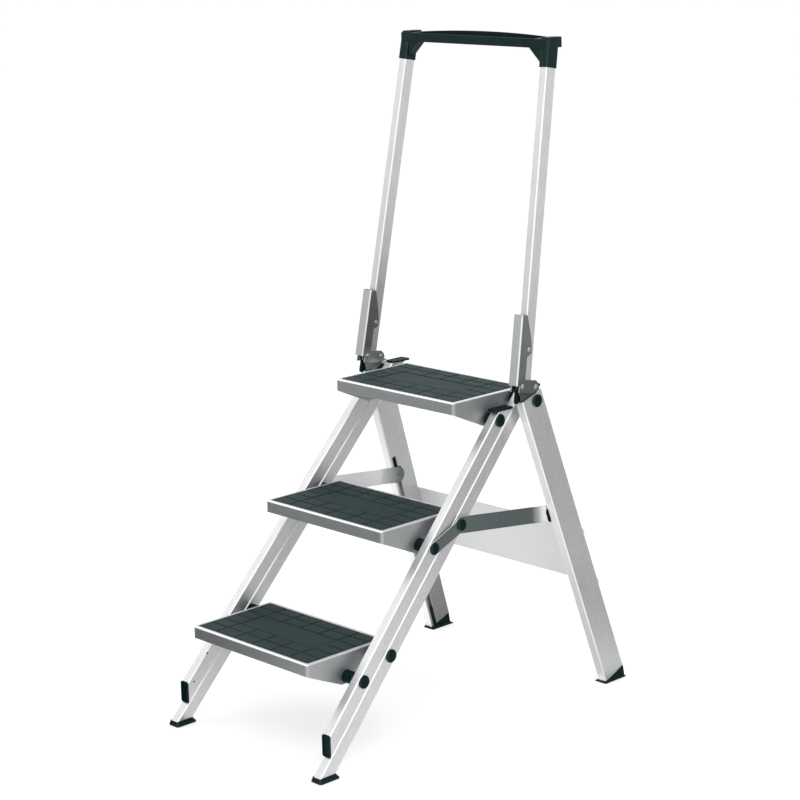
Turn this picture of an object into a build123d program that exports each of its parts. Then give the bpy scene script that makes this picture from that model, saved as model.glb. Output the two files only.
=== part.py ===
from build123d import *
from math import atan2, cos, degrees, hypot, radians, sin, tan
import os

os.makedirs("parts", exist_ok=True)

# Folding three-step stool with a handrail, standing open on the floor.
# X runs across, Y from the front to the rear, Z up. Sizes are in millimetres.

# steps
rise = 228.6  # from one tread to the next
run = 212.0  # setback from one tread to the next
tread_w = 359.0
tread_d = 216.0
lip_h = 26.0  # front and rear lip of a pan
flange_edge = 1.9  # side flange below the lower spacer
sheet = 2.0  # pan sheet
corner_r = 7.0  # pan corners seen from above
rim_w = 8.0  # metal rim left round the mat
rim_r = 1.0
recess = 3.0  # depth of the mat's seat
hinge_back = 33.6  # rear pivot ahead of the tread's rear edge
hinge_drop = 16.6  # rear pivot below the tread's top

# rubber mat
mat_fit = 0.25
mat_proud = 0.8  # tile tops above the rim
tile_h = 1.4
tile_gap = 2.6
tile_cols = 6
tile_rows = 6
panel_low = 0.6  # plain middle panel below the tile tops

# rails, two a side, one behind the other
rail_w = 22.0
rail_d = 31.0
rail_wall = 2.0
rail_r = 3.0
rail_gap = 0.6  # between front and rear rail
bolt_lead = 2.4  # front rail's bolts ahead of its middle
foot_out = 58.0  # outer face at the floor, outside the tread's edge
rail_splay = 0.040  # sideways lean, per unit of height
rail_top = 19.0  # rails end this far above their top pivots
rail_set = 6.4  # front rail's lower end behind the first tread's front
cap_t = 4.0  # flat caps on the rail tops
cap_lap = 12.0
cap_side = 2.5
cap_corner = 4.0
end_cap_t = 3.5  # caps on the lower ends of the front rails
end_cap_lap = 0.5
end_cap_corner = 4.0
end_cap_taper = 12.0  # degrees
plug_l = 26.0  # length of the plugs pushed into tubes
plug_fit = 0.3

# front feet
foot_h = 10.0
foot_flare = 3.5
toe_flare = 3.0
foot_heel = 7.0
foot_lip = 0.8  # shoe's top edge outside the rail
foot_corner = 4.0

# rear legs
leg_w = 22.0
leg_d = 64.0
leg_wall = 2.5
leg_r = 3.0
leg_lean = 18.3  # degrees from upright
leg_splay = 0.056
leg_front = 41.4  # front face ahead of the pivot
leg_top = 16.0  # top end above the pivot
leg_clear = 4.0  # lowest corner above the floor
shoe_side = 2.0
shoe_toe = 6.0
shoe_heel = 5.0
shoe_toe_h = 3.0
shoe_heel_h = 9.0
shoe_lip = 1.0

# rear panel
panel_top = 364.0
panel_bottom = 230.0
panel_t = 1.5
hem_h = 14.0
panel_in = 3.0  # panel ends inside the legs' outer faces
panel_gap = 0.4  # clear of the turned faces of the splayed legs
rivet_d = 9.0
rivet_h = 2.4

# pivots
bolt_d = 8.0
run_fit = 0.1  # running clearance on a pivot, radial
tight_fit = 0.02
head_d = 15.0
head_h = 4.0
cap_d = 28.0
cap_h = 3.0
cap_r = 1.6
face_gap = 0.4  # least gap between flat faces that turn on each other
spacer_d = 27.0

# struts
strut_t = 2.5
strut_h = 36.0
link_h = 27.0
strut_gap = 4.0
strut_slope = 0.0313  # outward run, per unit of length
strut_end_gap = 0.5  # bent end to the lower step's bolt cap
crank_l = 18.0
crank_lap = 0.2  # the crank runs this far into the straight parts
leg_clear_x = 1.8  # strut's end to the leg's inner face
pin_d = 7.0
pin_end_gap = 1.1  # pin's end to the leg's outer wall
pin_step = 1.0  # the pin's neck is this much thinner, and stands out as far
slot_lead = 30.0  # pin ahead of the leg's pivot line
slot_play = 4.2
slot_mid = 1.6  # slot's middle behind the pin's rest place

# handrail
hand_lean = 10.0  # degrees, backwards
hand_splay = 0.041
hand_shift = 1.2
tube_w = 20.4
tube_d = 29.5
tube_wall = 1.8
tube_r = 3.0
pin_ahead = 45.5  # hinge pin ahead of the leg pivot
pin_above = 38.3  # hinge pin above the leg pivot
stop_back = 41.4  # stop pin behind the hinge pin
hinge_d = 8.0
hinge_head_d = 12.0
hinge_head_h = 1.6
tube_start = 12.4
handle_under = 1397.0  # underside of the handle's crossbar

# brackets on the handrail
clip_t = 2.5
clip_fit = 0.1
web_ahead = 14.0
web_h = 148.0
clip_rivet_back = 12.0
clip_rivet_up = 77.0
clip_rivet_d = 6.0
clip_rivet_head = 9.0
clip_rivet_h = 1.4
tab = 8.0  # half-length of the tab round the rivet
ear_up = 13.0
ear_down = 14.0
ear_round = 6.0

# brackets on the legs
base_fit = 1.5  # plates inside the leg's walls
base_t = 2.5
boss_r = 11.0
lobe = 9.0  # half the plates' width at the seat and in the leg
seat_fit = 0.3
tongue = 45.0
tongue_rivet_d = 6.0
nose_fit = 0.1
nose_h = 30.0
nose_tip = 7.0

# handle
grip_wall = 2.4
grip_fit = 0.15
socket_l = 40.0
bar_h = 19.0
bar_bow = 16.0
bar_over = 4.0
bar_corner = 5.0
tray_wall = 4.0
tray_floor = 5.0
arch_h = 8.0
arch_in = 16.0  # arch starts this far inside the crossbar's ends
arch_step = 0.5
gusset = 28.0
gusset_d = 22.0
gusset_set = 4.0
gusset_lap = 3.0
tube_stop = 14.0  # tube's top end below the tray's rim

# the fold's geometry
rail_ang = degrees(atan2(rise, run))
ca, sa = cos(radians(rail_ang)), sin(radians(rail_ang))
pitch = rail_d + rail_gap + bolt_lead
link_ang = radians(rail_ang / 2)
link = pitch / sin(link_ang)
link_y, link_z = link * cos(link_ang), link * sin(link_ang)
flange_h = hinge_drop + link_z + spacer_d / 2 + flange_edge
cb, sb = cos(radians(leg_lean)), sin(radians(leg_lean))
cg, sg = cos(radians(hand_lean)), sin(radians(hand_lean))

# the rear foot's heel and the front foot's toe lie as far from the origin
low_z = rise - hinge_drop
top_z = low_z + 2 * rise
half_cut = rail_d / 2 / sa
toe_raw = (foot_h - low_z) * ca / sa - half_cut - toe_flare
leg_down = (top_z - leg_front * sb - leg_clear) / cb
leg_back = leg_d - leg_front
heel_raw = 2 * run + leg_down * sb + leg_back * cb + shoe_heel
mid_y = (toe_raw + heel_raw) / 2

b_y = [i * run - mid_y for i in range(3)]
b_z = [low_z + i * rise for i in range(3)]
a_y = [y - link_y for y in b_y]
a_z = [z - link_z for z in b_z]
p_y, p_z = b_y[2], b_z[2]
front_y = [y + hinge_back - tread_d for y in b_y]
tread_z = [rise * (i + 1) for i in range(3)]
side_x = tread_w / 2


def rail_out(z):
    return side_x + foot_out - rail_splay * z


def rail_in(z):
    return rail_out(z) - rail_w


# the strut's bent end passes the lower step's bolt cap, and the leg stands outside it
pin_z = b_z[1] - slot_lead
pin_y = p_y + (-slot_lead + (p_z - pin_z) * sb) / cb
tilt = rail_splay * cap_d / 2
low_cap_x = rail_out(a_z[0]) + tilt + face_gap + cap_h
end_x = low_cap_x + strut_end_gap
leg_in_p = end_x + strut_t + leg_clear_x - leg_splay * (p_z - pin_z)
leg_gap = leg_in_p - rail_out(p_z)
pin_reach = leg_clear_x + leg_w - leg_wall - pin_end_gap
base_half = min(leg_w / 2 - leg_wall, tube_w / 2 - hand_shift) - base_fit


def leg_in(z):
    return leg_in_p + leg_splay * (p_z - z)


# planes: rails and legs are drawn on their cross sections
def rail_plane(y, z):
    return Plane(
        origin=(rail_out(z) - rail_w / 2, y, z),
        x_dir=(1, 0, rail_splay),
        z_dir=(-rail_splay * sa, ca, sa),
    )


rear_plane = rail_plane(b_y[1], b_z[1])
fore_plane = rail_plane(a_y[1], a_z[1])
leg_plane = Plane(
    origin=(leg_in_p + leg_w / 2, p_y, p_z),
    x_dir=(1, 0, leg_splay),
    z_dir=(-leg_splay * cb, -sb, cb),
)
leg_side = Plane(
    origin=(leg_in_p + leg_w / 2, p_y, p_z), x_dir=(0, 1, 0), z_dir=(1, 0, leg_splay)
)
o_y, o_z = p_y - pin_ahead, p_z + pin_above
hand_x = leg_in(o_z) + leg_w / 2 + hand_shift
hand_side = Plane(origin=(hand_x, o_y, o_z), x_dir=(0, cg, -sg), z_dir=(1, 0, hand_splay))
tube_plane = Plane(
    origin=(hand_x, o_y, o_z), x_dir=(1, 0, hand_splay), z_dir=(-hand_splay * cg, sg, cg)
)
leg_mid = leg_d / 2 - leg_front


# side-view points: back and up from the hinge pin, and ahead and up along the leg, from the pivot
def hand_pt(back, up):
    return (back * cg + up * sg - pin_ahead, up * cg - back * sg + pin_above)


def leg_pt(ahead, up):
    return (-ahead * cb - up * sb, up * cb - ahead * sb)


half_inner = tube_w / 2 + clip_fit
half_outer = half_inner + clip_t
big = 3000.0
bar_d = tube_d + 2 * grip_wall


# rear rails
rear_top = p_z + rail_top
with BuildPart() as rear_rail_right:
    with BuildSketch(rear_plane):
        RectangleRounded(rail_w, rail_d, rail_r)
        RectangleRounded(
            rail_w - 2 * rail_wall, rail_d - 2 * rail_wall, rail_r / 2, mode=Mode.SUBTRACT
        )
    extrude(amount=2 * p_z, both=True)
    with BuildSketch(Plane.XY.offset(foot_h)):
        Rectangle(big, big)
    extrude(amount=-big, mode=Mode.SUBTRACT)
    with BuildSketch(Plane.XY.offset(rear_top)):
        Rectangle(big, big)
    extrude(amount=big, mode=Mode.SUBTRACT)
    with BuildSketch(Plane.YZ):
        with Locations((b_y[0], b_z[0]), (b_y[1], b_z[1])):
            Circle(bolt_d / 2 + run_fit)
        with Locations((p_y, p_z)):
            Circle(bolt_d / 2 + tight_fit)
    extrude(amount=big, mode=Mode.SUBTRACT)
rear_rail_right.part.label = "rear_rail_right"
export_step(rear_rail_right.part, "parts/rear_rail_right.step")

with BuildPart() as rear_rail_left:
    mirror(rear_rail_right.part, about=Plane.YZ)
rear_rail_left.part.label = "rear_rail_left"
export_step(rear_rail_left.part, "parts/rear_rail_left.step")

# flat caps on the rear rails, set back at the front so that the front rails pass
rear_mid_y = p_y + rail_top * ca / sa
rear_cap_front = rear_mid_y - half_cut + cap_t * ca / sa + face_gap
rear_cap_back = rear_mid_y + half_cut + cap_lap
with BuildPart() as rear_rail_caps:
    with BuildSketch(Plane.XY.offset(rear_top)):
        with Locations(
            (rail_out(rear_top) - rail_w / 2, (rear_cap_front + rear_cap_back) / 2)
        ):
            RectangleRounded(rail_w + 2 * cap_side, rear_cap_back - rear_cap_front, cap_corner)
    extrude(amount=cap_t)
    mirror(about=Plane.YZ)
rear_rail_caps.part.label = "rear_rail_caps"
export_step(rear_rail_caps.part, "parts/rear_rail_caps.step")

# front feet: a flared shoe with a plug inside the rail
foot_mid_y = b_y[0] + (foot_h - low_z) * ca / sa
foot_mid_x = rail_out(foot_h) - rail_w / 2
sole_y = foot_mid_y + (foot_heel - toe_flare) / 2
sole_l = 2 * half_cut + toe_flare + foot_heel
with BuildPart() as front_foot_right:
    with BuildSketch(rear_plane):
        RectangleRounded(
            rail_w - 2 * rail_wall - 2 * plug_fit,
            rail_d - 2 * rail_wall - 2 * plug_fit,
            rail_r / 2,
        )
    extrude(amount=-2 * p_z)
    with BuildSketch(Plane.XY.offset(foot_h)):
        Rectangle(big, big)
    extrude(amount=-big, mode=Mode.SUBTRACT)
    with BuildSketch(Plane.XY.offset(foot_h + plug_l)):
        Rectangle(big, big)
    extrude(amount=big, mode=Mode.SUBTRACT)
    with BuildSketch(Plane.XY):
        with Locations((foot_mid_x, sole_y)):
            RectangleRounded(rail_w + 2 * foot_flare, sole_l, foot_corner)
    with BuildSketch(Plane.XY.offset(foot_h)):
        with Locations((foot_mid_x, foot_mid_y)):
            RectangleRounded(rail_w + 2 * foot_lip, 2 * (half_cut + foot_lip), rail_r)
    loft()
front_foot_right.part.label = "front_foot_right"
export_step(front_foot_right.part, "parts/front_foot_right.step")

with BuildPart() as front_foot_left:
    mirror(front_foot_right.part, about=Plane.YZ)
front_foot_left.part.label = "front_foot_left"
export_step(front_foot_left.part, "parts/front_foot_left.step")

# front rails, cut upright at the bottom
fore_top = a_z[2] + rail_top
fore_end_y = front_y[0] + rail_set
with BuildPart() as front_rail_right:
    with BuildSketch(fore_plane):
        with Locations((0, bolt_lead)):
            RectangleRounded(rail_w, rail_d, rail_r)
            RectangleRounded(
                rail_w - 2 * rail_wall,
                rail_d - 2 * rail_wall,
                rail_r / 2,
                mode=Mode.SUBTRACT,
            )
    extrude(amount=2 * p_z, both=True)
    with BuildSketch(Plane.XZ.offset(-fore_end_y)):
        Rectangle(big, 2 * big)
    extrude(amount=big, mode=Mode.SUBTRACT)
    with BuildSketch(Plane.XY.offset(fore_top)):
        Rectangle(big, big)
    extrude(amount=big, mode=Mode.SUBTRACT)
    with BuildSketch(Plane.YZ):
        with Locations((a_y[0], a_z[0]), (a_y[1], a_z[1]), (a_y[2], a_z[2])):
            Circle(bolt_d / 2 + run_fit)
    extrude(amount=big, mode=Mode.SUBTRACT)
front_rail_right.part.label = "front_rail_right"
export_step(front_rail_right.part, "parts/front_rail_right.step")

with BuildPart() as front_rail_left:
    mirror(front_rail_right.part, about=Plane.YZ)
front_rail_left.part.label = "front_rail_left"
export_step(front_rail_left.part, "parts/front_rail_left.step")

# flat caps on the front rails, flush at the rear
fore_shift = bolt_lead / sa
fore_mid_y = a_y[2] + rail_top * ca / sa + fore_shift
fore_cap_front = fore_mid_y - half_cut - cap_lap
fore_cap_back = fore_mid_y + half_cut - face_gap
with BuildPart() as front_rail_caps:
    with BuildSketch(Plane.XY.offset(fore_top)):
        with Locations(
            (rail_out(fore_top) - rail_w / 2, (fore_cap_front + fore_cap_back) / 2)
        ):
            RectangleRounded(rail_w + 2 * cap_side, fore_cap_back - fore_cap_front, cap_corner)
    extrude(amount=cap_t)
    mirror(about=Plane.YZ)
front_rail_caps.part.label = "front_rail_caps"
export_step(front_rail_caps.part, "parts/front_rail_caps.step")

# caps on the lower ends of the front rails, with a plug up the tube
fore_end_z = a_z[0] + (fore_end_y - a_y[0] - fore_shift) * sa / ca
end_h = rail_d / ca
with BuildPart() as front_rail_end_caps:
    with BuildSketch(fore_plane):
        with Locations((0, bolt_lead)):
            RectangleRounded(
                rail_w - 2 * rail_wall - 2 * plug_fit,
                rail_d - 2 * rail_wall - 2 * plug_fit,
                rail_r / 2,
            )
    extrude(amount=-2 * p_z)
    with BuildSketch(Plane.XZ.offset(-fore_end_y)):
        Rectangle(big, 2 * big)
    extrude(amount=big, mode=Mode.SUBTRACT)
    with BuildSketch(Plane.XZ.offset(-fore_end_y - plug_l)):
        Rectangle(big, 2 * big)
    extrude(amount=-big, mode=Mode.SUBTRACT)
    with BuildSketch(Plane.XZ.offset(-fore_end_y)):
        with Locations((rail_out(fore_end_z) - rail_w / 2, fore_end_z)):
            RectangleRounded(rail_w + 2 * end_cap_lap, end_h + 2 * end_cap_lap, end_cap_corner)
    extrude(amount=end_cap_t, taper=end_cap_taper)
    mirror(about=Plane.YZ)
front_rail_end_caps.part.label = "front_rail_end_caps"
export_step(front_rail_end_caps.part, "parts/front_rail_end_caps.step")

# step pans: a tray for the mat on top, lips front and rear, a deep flange on each side
pans = []
for i, name in enumerate(["lower", "middle", "top"]):
    fy, tz = front_y[i], tread_z[i]
    under = tz - recess - sheet
    hinge_low = b_z[i] - cap_d / 2
    with BuildPart() as pan:
        with BuildSketch(Plane.YZ):
            with BuildLine():
                Polyline(
                    (fy, tz),
                    (fy + tread_d, tz),
                    (fy + tread_d, tz - lip_h),
                    (b_y[i] + spacer_d / 2, hinge_low),
                    (a_y[i] + spacer_d / 2, tz - flange_h),
                    (a_y[i] - spacer_d / 2, tz - flange_h),
                    (fy, tz - lip_h),
                    close=True,
                )
            make_face()
        extrude(amount=side_x, both=True)
        with BuildSketch(Plane.XY.offset(tz - flange_h)):
            with Locations((0, fy + tread_d / 2)):
                RectangleRounded(tread_w, tread_d, corner_r)
        extrude(amount=flange_h, mode=Mode.INTERSECT)
        with BuildSketch(Plane.XY.offset(under)):
            with Locations((0, fy + tread_d / 2)):
                RectangleRounded(tread_w - 2 * sheet, tread_d - 2 * sheet, corner_r - sheet)
        extrude(amount=-big, mode=Mode.SUBTRACT)
        with BuildSketch(Plane.XY.offset(tz - recess)):
            with Locations((0, fy + tread_d / 2)):
                RectangleRounded(tread_w - 2 * rim_w, tread_d - 2 * rim_w, corner_r / 2)
        extrude(amount=big, mode=Mode.SUBTRACT)
        fillet(pan.edges().group_by(Axis.Z)[-1].sort_by(SortBy.LENGTH)[-8:], rim_r)
        with BuildSketch(Plane.YZ):
            with Locations((a_y[i], a_z[i])):
                Circle(bolt_d / 2 + tight_fit)
            with Locations((b_y[i], b_z[i])):
                Circle(bolt_d / 2 + (run_fit if i == 2 else tight_fit))
        extrude(amount=big, both=True, mode=Mode.SUBTRACT)
    pan.part.label = name + "_step_pan"
    export_step(pan.part, "parts/" + name + "_step_pan.step")
    pans.append(pan)

# rubber mats: a grid of raised tiles round a plain middle panel
mat_w = tread_w - 2 * rim_w - 2 * mat_fit
mat_d = tread_d - 2 * rim_w - 2 * mat_fit
col_w = mat_w / tile_cols
row_d = mat_d / tile_rows
for i, name in enumerate(["lower", "middle", "top"]):
    my = front_y[i] + tread_d / 2
    tile_z = tread_z[i] + mat_proud - tile_h
    with BuildPart() as mat:
        with BuildSketch(Plane.XY.offset(tread_z[i] - recess)):
            with Locations((0, my)):
                RectangleRounded(mat_w, mat_d, corner_r / 2 - mat_fit)
        extrude(amount=tile_z - tread_z[i] + recess)
        with BuildSketch(Plane.XY.offset(tile_z)):
            with Locations((0, my)):
                with GridLocations(col_w, row_d, tile_cols, tile_rows):
                    Rectangle(col_w - tile_gap, row_d - tile_gap)
                Rectangle((tile_cols - 2) * col_w, 2 * row_d, mode=Mode.SUBTRACT)
        extrude(amount=tile_h)
        with BuildSketch(Plane.XY.offset(tile_z)):
            with Locations((0, my)):
                Rectangle((tile_cols - 2) * col_w - tile_gap, 2 * row_d - tile_gap)
        extrude(amount=tile_h - panel_low)
    mat.part.label = name + "_step_mat"
    export_step(mat.part, "parts/" + name + "_step_mat.step")

# struts: a link over the middle step's two pivots and a bar back to the leg, cranked out at its end
bar_l = hypot(pin_y - b_y[1], pin_z - b_z[1])
bar_ang = atan2(pin_z - b_z[1], pin_y - b_y[1])
cs, ss = cos(bar_ang), sin(bar_ang)
strut_x = rail_out(a_z[1]) + strut_gap
crank_to = hypot(run, rise) - link_y - cap_d / 2
crank_from = crank_to - crank_l
strut_plane = Plane(
    origin=(strut_x, b_y[1], b_z[1]),
    x_dir=(strut_slope, cs, ss),
    z_dir=(1, -strut_slope * cs, -strut_slope * ss),
)
end_plane = Plane(origin=(end_x, b_y[1], b_z[1]), x_dir=(0, cs, ss), z_dir=(1, 0, 0))
link_u = -link_y * cs - link_z * ss
link_v = link_y * ss - link_z * cs
crank_x0 = strut_x + strut_slope * crank_from
with BuildPart() as strut_right:
    with BuildSketch(strut_plane):
        with Locations((link_u / 2, link_v / 2)):
            SlotCenterToCenter(link, link_h, rotation=degrees(atan2(link_v, link_u)))
        with Locations((crank_from / 2, 0)):
            Rectangle(crank_from, strut_h)
        Circle(strut_h / 2)
    extrude(amount=strut_t)
    # the crank, as a slanted piece of the same sheet
    with BuildSketch(Plane(origin=(0, b_y[1], b_z[1]), x_dir=(1, 0, 0), z_dir=(0, -ss, cs))):
        with BuildLine():
            Polyline(
                (crank_x0, crank_from - crank_lap),
                (crank_x0 + strut_t, crank_from - crank_lap),
                (end_x + strut_t, crank_to),
                (end_x, crank_to),
                close=True,
            )
        make_face()
    extrude(amount=strut_h / 2, both=True)
    with BuildSketch(end_plane):
        with Locations(((crank_to - crank_lap + bar_l) / 2, 0)):
            Rectangle(bar_l - crank_to + crank_lap, strut_h)
        with Locations((bar_l, 0)):
            Circle(strut_h / 2)
    extrude(amount=strut_t)
    with BuildSketch(Plane.YZ):
        with Locations((a_y[1], a_z[1]), (b_y[1], b_z[1])):
            Circle(bolt_d / 2 + tight_fit)
        with Locations((pin_y, pin_z)):
            Circle(pin_d / 2 - pin_step + tight_fit)
    extrude(amount=big, mode=Mode.SUBTRACT)
strut_right.part.label = "strut_right"
export_step(strut_right.part, "parts/strut_right.step")

with BuildPart() as strut_left:
    mirror(strut_right.part, about=Plane.YZ)
strut_left.part.label = "strut_left"
export_step(strut_left.part, "parts/strut_left.step")

# pins that slide in the legs' slots
with BuildPart() as strut_pins:
    with BuildSketch(Plane.YZ.offset(end_x + strut_t)):
        with Locations((pin_y, pin_z)):
            Circle(pin_d / 2)
    extrude(amount=pin_reach)
    with BuildSketch(Plane.YZ.offset(end_x - pin_step)):
        with Locations((pin_y, pin_z)):
            Circle(pin_d / 2 - pin_step)
    extrude(amount=strut_t + pin_step)
    mirror(about=Plane.YZ)
strut_pins.part.label = "strut_pins"
export_step(strut_pins.part, "parts/strut_pins.step")

# step pivots: bolts fixed in the pans, with spacers inside the rails and caps outside
for i, name in enumerate(["lower", "middle", "top"]):
    spots = [(a_y[i], a_z[i]), (b_y[i], b_z[i])]
    if i == 2:
        spots = spots[:1]
    outer = []
    for y, z in spots:
        x = rail_out(z) + tilt + face_gap
        if i == 1:
            u = (y - b_y[1]) * cs + (z - b_z[1]) * ss
            x = strut_x + strut_slope * (u + cap_d / 2) + strut_t
        outer.append(x)
    with BuildPart() as bolts:
        for (y, z), x in zip(spots, outer):
            with BuildSketch(Plane.YZ.offset(side_x - sheet)):
                with Locations((y, z)):
                    Circle(bolt_d / 2)
            extrude(amount=x - side_x + sheet)
            with BuildSketch(Plane.YZ.offset(side_x - sheet)):
                with Locations((y, z)):
                    RegularPolygon(head_d / 2, 6)
            extrude(amount=-head_h)
        mirror(about=Plane.YZ)
    bolts.part.label = name + "_step_bolts"
    export_step(bolts.part, "parts/" + name + "_step_bolts.step")

    with BuildPart() as caps:
        for (y, z), x in zip(spots, outer):
            with BuildSketch(Plane.YZ.offset(x)):
                with Locations((y, z)):
                    Circle(cap_d / 2)
            extrude(amount=cap_h)
        rims = caps.edges().filter_by(GeomType.CIRCLE)
        rims = [e for e in rims if any(abs(e.arc_center.X - x - cap_h) < 0.01 for x in outer)]
        fillet(rims, cap_r)
        mirror(about=Plane.YZ)
    caps.part.label = name + "_step_bolt_caps"
    export_step(caps.part, "parts/" + name + "_step_bolt_caps.step")

    with BuildPart() as spacers:
        for y, z in spots:
            with BuildSketch(Plane.YZ.offset(side_x)):
                with Locations((y, z)):
                    Circle(spacer_d / 2)
                    Circle(bolt_d / 2 + tight_fit, mode=Mode.SUBTRACT)
            extrude(amount=rail_in(z) - tilt - face_gap - side_x)
        mirror(about=Plane.YZ)
    spacers.part.label = name + "_step_spacers"
    export_step(spacers.part, "parts/" + name + "_step_spacers.step")

# a bush between each strut and its rear rail
strut_bush_x = strut_x - strut_slope * spacer_d / 2
with BuildPart() as strut_bushes:
    with BuildSketch(Plane.YZ.offset(rail_out(b_z[1]) + tilt + face_gap)):
        with Locations((b_y[1], b_z[1])):
            Circle(spacer_d / 2)
            Circle(bolt_d / 2 + tight_fit, mode=Mode.SUBTRACT)
    extrude(amount=strut_bush_x - rail_out(b_z[1]) - tilt - face_gap)
    mirror(about=Plane.YZ)
strut_bushes.part.label = "strut_bushes"
export_step(strut_bushes.part, "parts/strut_bushes.step")

# rear legs: a box section with a slot down its inner wall
with BuildPart() as rear_leg_right:
    with BuildSketch(leg_plane.offset(-leg_down)):
        with Locations((0, leg_mid)):
            RectangleRounded(leg_w, leg_d, leg_r)
            RectangleRounded(
                leg_w - 2 * leg_wall, leg_d - 2 * leg_wall, leg_r / 2, mode=Mode.SUBTRACT
            )
        with Locations((-leg_w / 2, slot_mid - slot_lead)):
            Rectangle(3 * leg_wall, pin_d + slot_play, mode=Mode.SUBTRACT)
    extrude(amount=leg_down + leg_top)
    tongue_y, tongue_z = leg_pt(leg_front / 2 + base_t, -tongue / 2)
    with BuildSketch(Plane.YZ):
        with Locations((p_y, p_z)):
            Circle(bolt_d / 2 + run_fit)
        with Locations((p_y + tongue_y, p_z + tongue_z)):
            Circle(tongue_rivet_d / 2 + tight_fit)
    extrude(amount=big, mode=Mode.SUBTRACT)
rear_leg_right.part.label = "rear_leg_right"
export_step(rear_leg_right.part, "parts/rear_leg_right.step")

with BuildPart() as rear_leg_left:
    mirror(rear_leg_right.part, about=Plane.YZ)
rear_leg_left.part.label = "rear_leg_left"
export_step(rear_leg_left.part, "parts/rear_leg_left.step")

# rear feet: a wedge under the square leg end, with a plug inside the leg
lf_y, lf_z = leg_pt(leg_front, -leg_down)
lr_y, lr_z = leg_pt(-leg_back, -leg_down)
lf_y, lf_z, lr_y, lr_z = lf_y + p_y, lf_z + p_z, lr_y + p_y, lr_z + p_z
shoe_x = leg_in(lr_z / 2) + leg_w / 2
plug_root = leg_clear * 0.6
with BuildPart() as rear_foot_right:
    with BuildSketch(leg_plane.offset(-leg_down - plug_root)):
        with Locations((0, leg_mid)):
            RectangleRounded(
                leg_w - 2 * leg_wall - 2 * plug_fit,
                leg_d - 2 * leg_wall - 2 * plug_fit,
                leg_r / 2,
            )
    extrude(amount=plug_l + plug_root)
    with BuildSketch(Plane.YZ.offset(shoe_x)):
        with BuildLine():
            Polyline(
                (lf_y - shoe_toe, 0),
                (lf_y - shoe_toe, shoe_toe_h),
                (lf_y - shoe_lip, lf_z),
                (lr_y + shoe_lip * cb, lr_z + shoe_lip * sb),
                (lr_y + shoe_heel, shoe_heel_h),
                (lr_y + shoe_heel, 0),
                close=True,
            )
        make_face()
    extrude(amount=leg_w / 2 + shoe_side, both=True)
    with BuildSketch(leg_plane.offset(-leg_down)):
        with Locations((0, leg_mid)):
            RectangleRounded(leg_w, leg_d, leg_r)
            RectangleRounded(
                leg_w - 2 * leg_wall, leg_d - 2 * leg_wall, leg_r / 2, mode=Mode.SUBTRACT
            )
    extrude(amount=plug_l, mode=Mode.SUBTRACT)
rear_foot_right.part.label = "rear_foot_right"
export_step(rear_foot_right.part, "parts/rear_foot_right.step")

with BuildPart() as rear_foot_left:
    mirror(rear_foot_right.part, about=Plane.YZ)
rear_foot_left.part.label = "rear_foot_left"
export_step(rear_foot_left.part, "parts/rear_foot_left.step")

# pivot bolts of the legs, fixed in the rear rails, through the top step
with BuildPart() as leg_bolts:
    with BuildSketch(Plane.YZ.offset(side_x - sheet - face_gap)):
        with Locations((p_y, p_z)):
            Circle(bolt_d / 2)
    extrude(amount=leg_in_p + leg_w + leg_splay * cap_d / 2 + face_gap - side_x + sheet + face_gap)
    with BuildSketch(Plane.YZ.offset(side_x - sheet - face_gap)):
        with Locations((p_y, p_z)):
            RegularPolygon(head_d / 2, 6)
    extrude(amount=-head_h)
    mirror(about=Plane.YZ)
leg_bolts.part.label = "leg_bolts"
export_step(leg_bolts.part, "parts/leg_bolts.step")

with BuildPart() as leg_bolt_caps:
    with BuildSketch(Plane.YZ.offset(leg_in_p + leg_w + leg_splay * cap_d / 2 + face_gap)):
        with Locations((p_y, p_z)):
            Circle(cap_d / 2)
    extrude(amount=cap_h)
    fillet(leg_bolt_caps.faces().sort_by(Axis.X)[-1].edges(), cap_r)
    mirror(about=Plane.YZ)
leg_bolt_caps.part.label = "leg_bolt_caps"
export_step(leg_bolt_caps.part, "parts/leg_bolt_caps.step")

with BuildPart() as leg_bolt_spacers:
    with BuildSketch(Plane.YZ.offset(side_x + face_gap)):
        with Locations((p_y, p_z)):
            Circle(spacer_d / 2)
            Circle(bolt_d / 2 + tight_fit, mode=Mode.SUBTRACT)
    extrude(amount=rail_in(p_z) - tilt - side_x - face_gap)
    with BuildSketch(Plane.YZ.offset(rail_out(p_z) + tilt)):
        with Locations((p_y, p_z)):
            Circle(spacer_d / 2)
            Circle(bolt_d / 2 + tight_fit, mode=Mode.SUBTRACT)
    extrude(amount=leg_gap - tilt - leg_splay * spacer_d / 2 - face_gap)
    mirror(about=Plane.YZ)
leg_bolt_spacers.part.label = "leg_bolt_spacers"
export_step(leg_bolt_spacers.part, "parts/leg_bolt_spacers.step")

# rear panel across the legs, with hems folded back along its long edges
panel_back = leg_back + panel_gap
back_plane = Plane(
    origin=(0, p_y + panel_back * cb, p_z + panel_back * sb), x_dir=(1, 0, 0), z_dir=(0, cb, sb)
)
up_top = (panel_top - p_z - panel_back * sb) / cb
up_low = (panel_bottom - p_z - panel_back * sb) / cb


def panel_half(up):
    return leg_in(p_z + panel_back * sb + up * cb) + leg_w - panel_in


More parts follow.
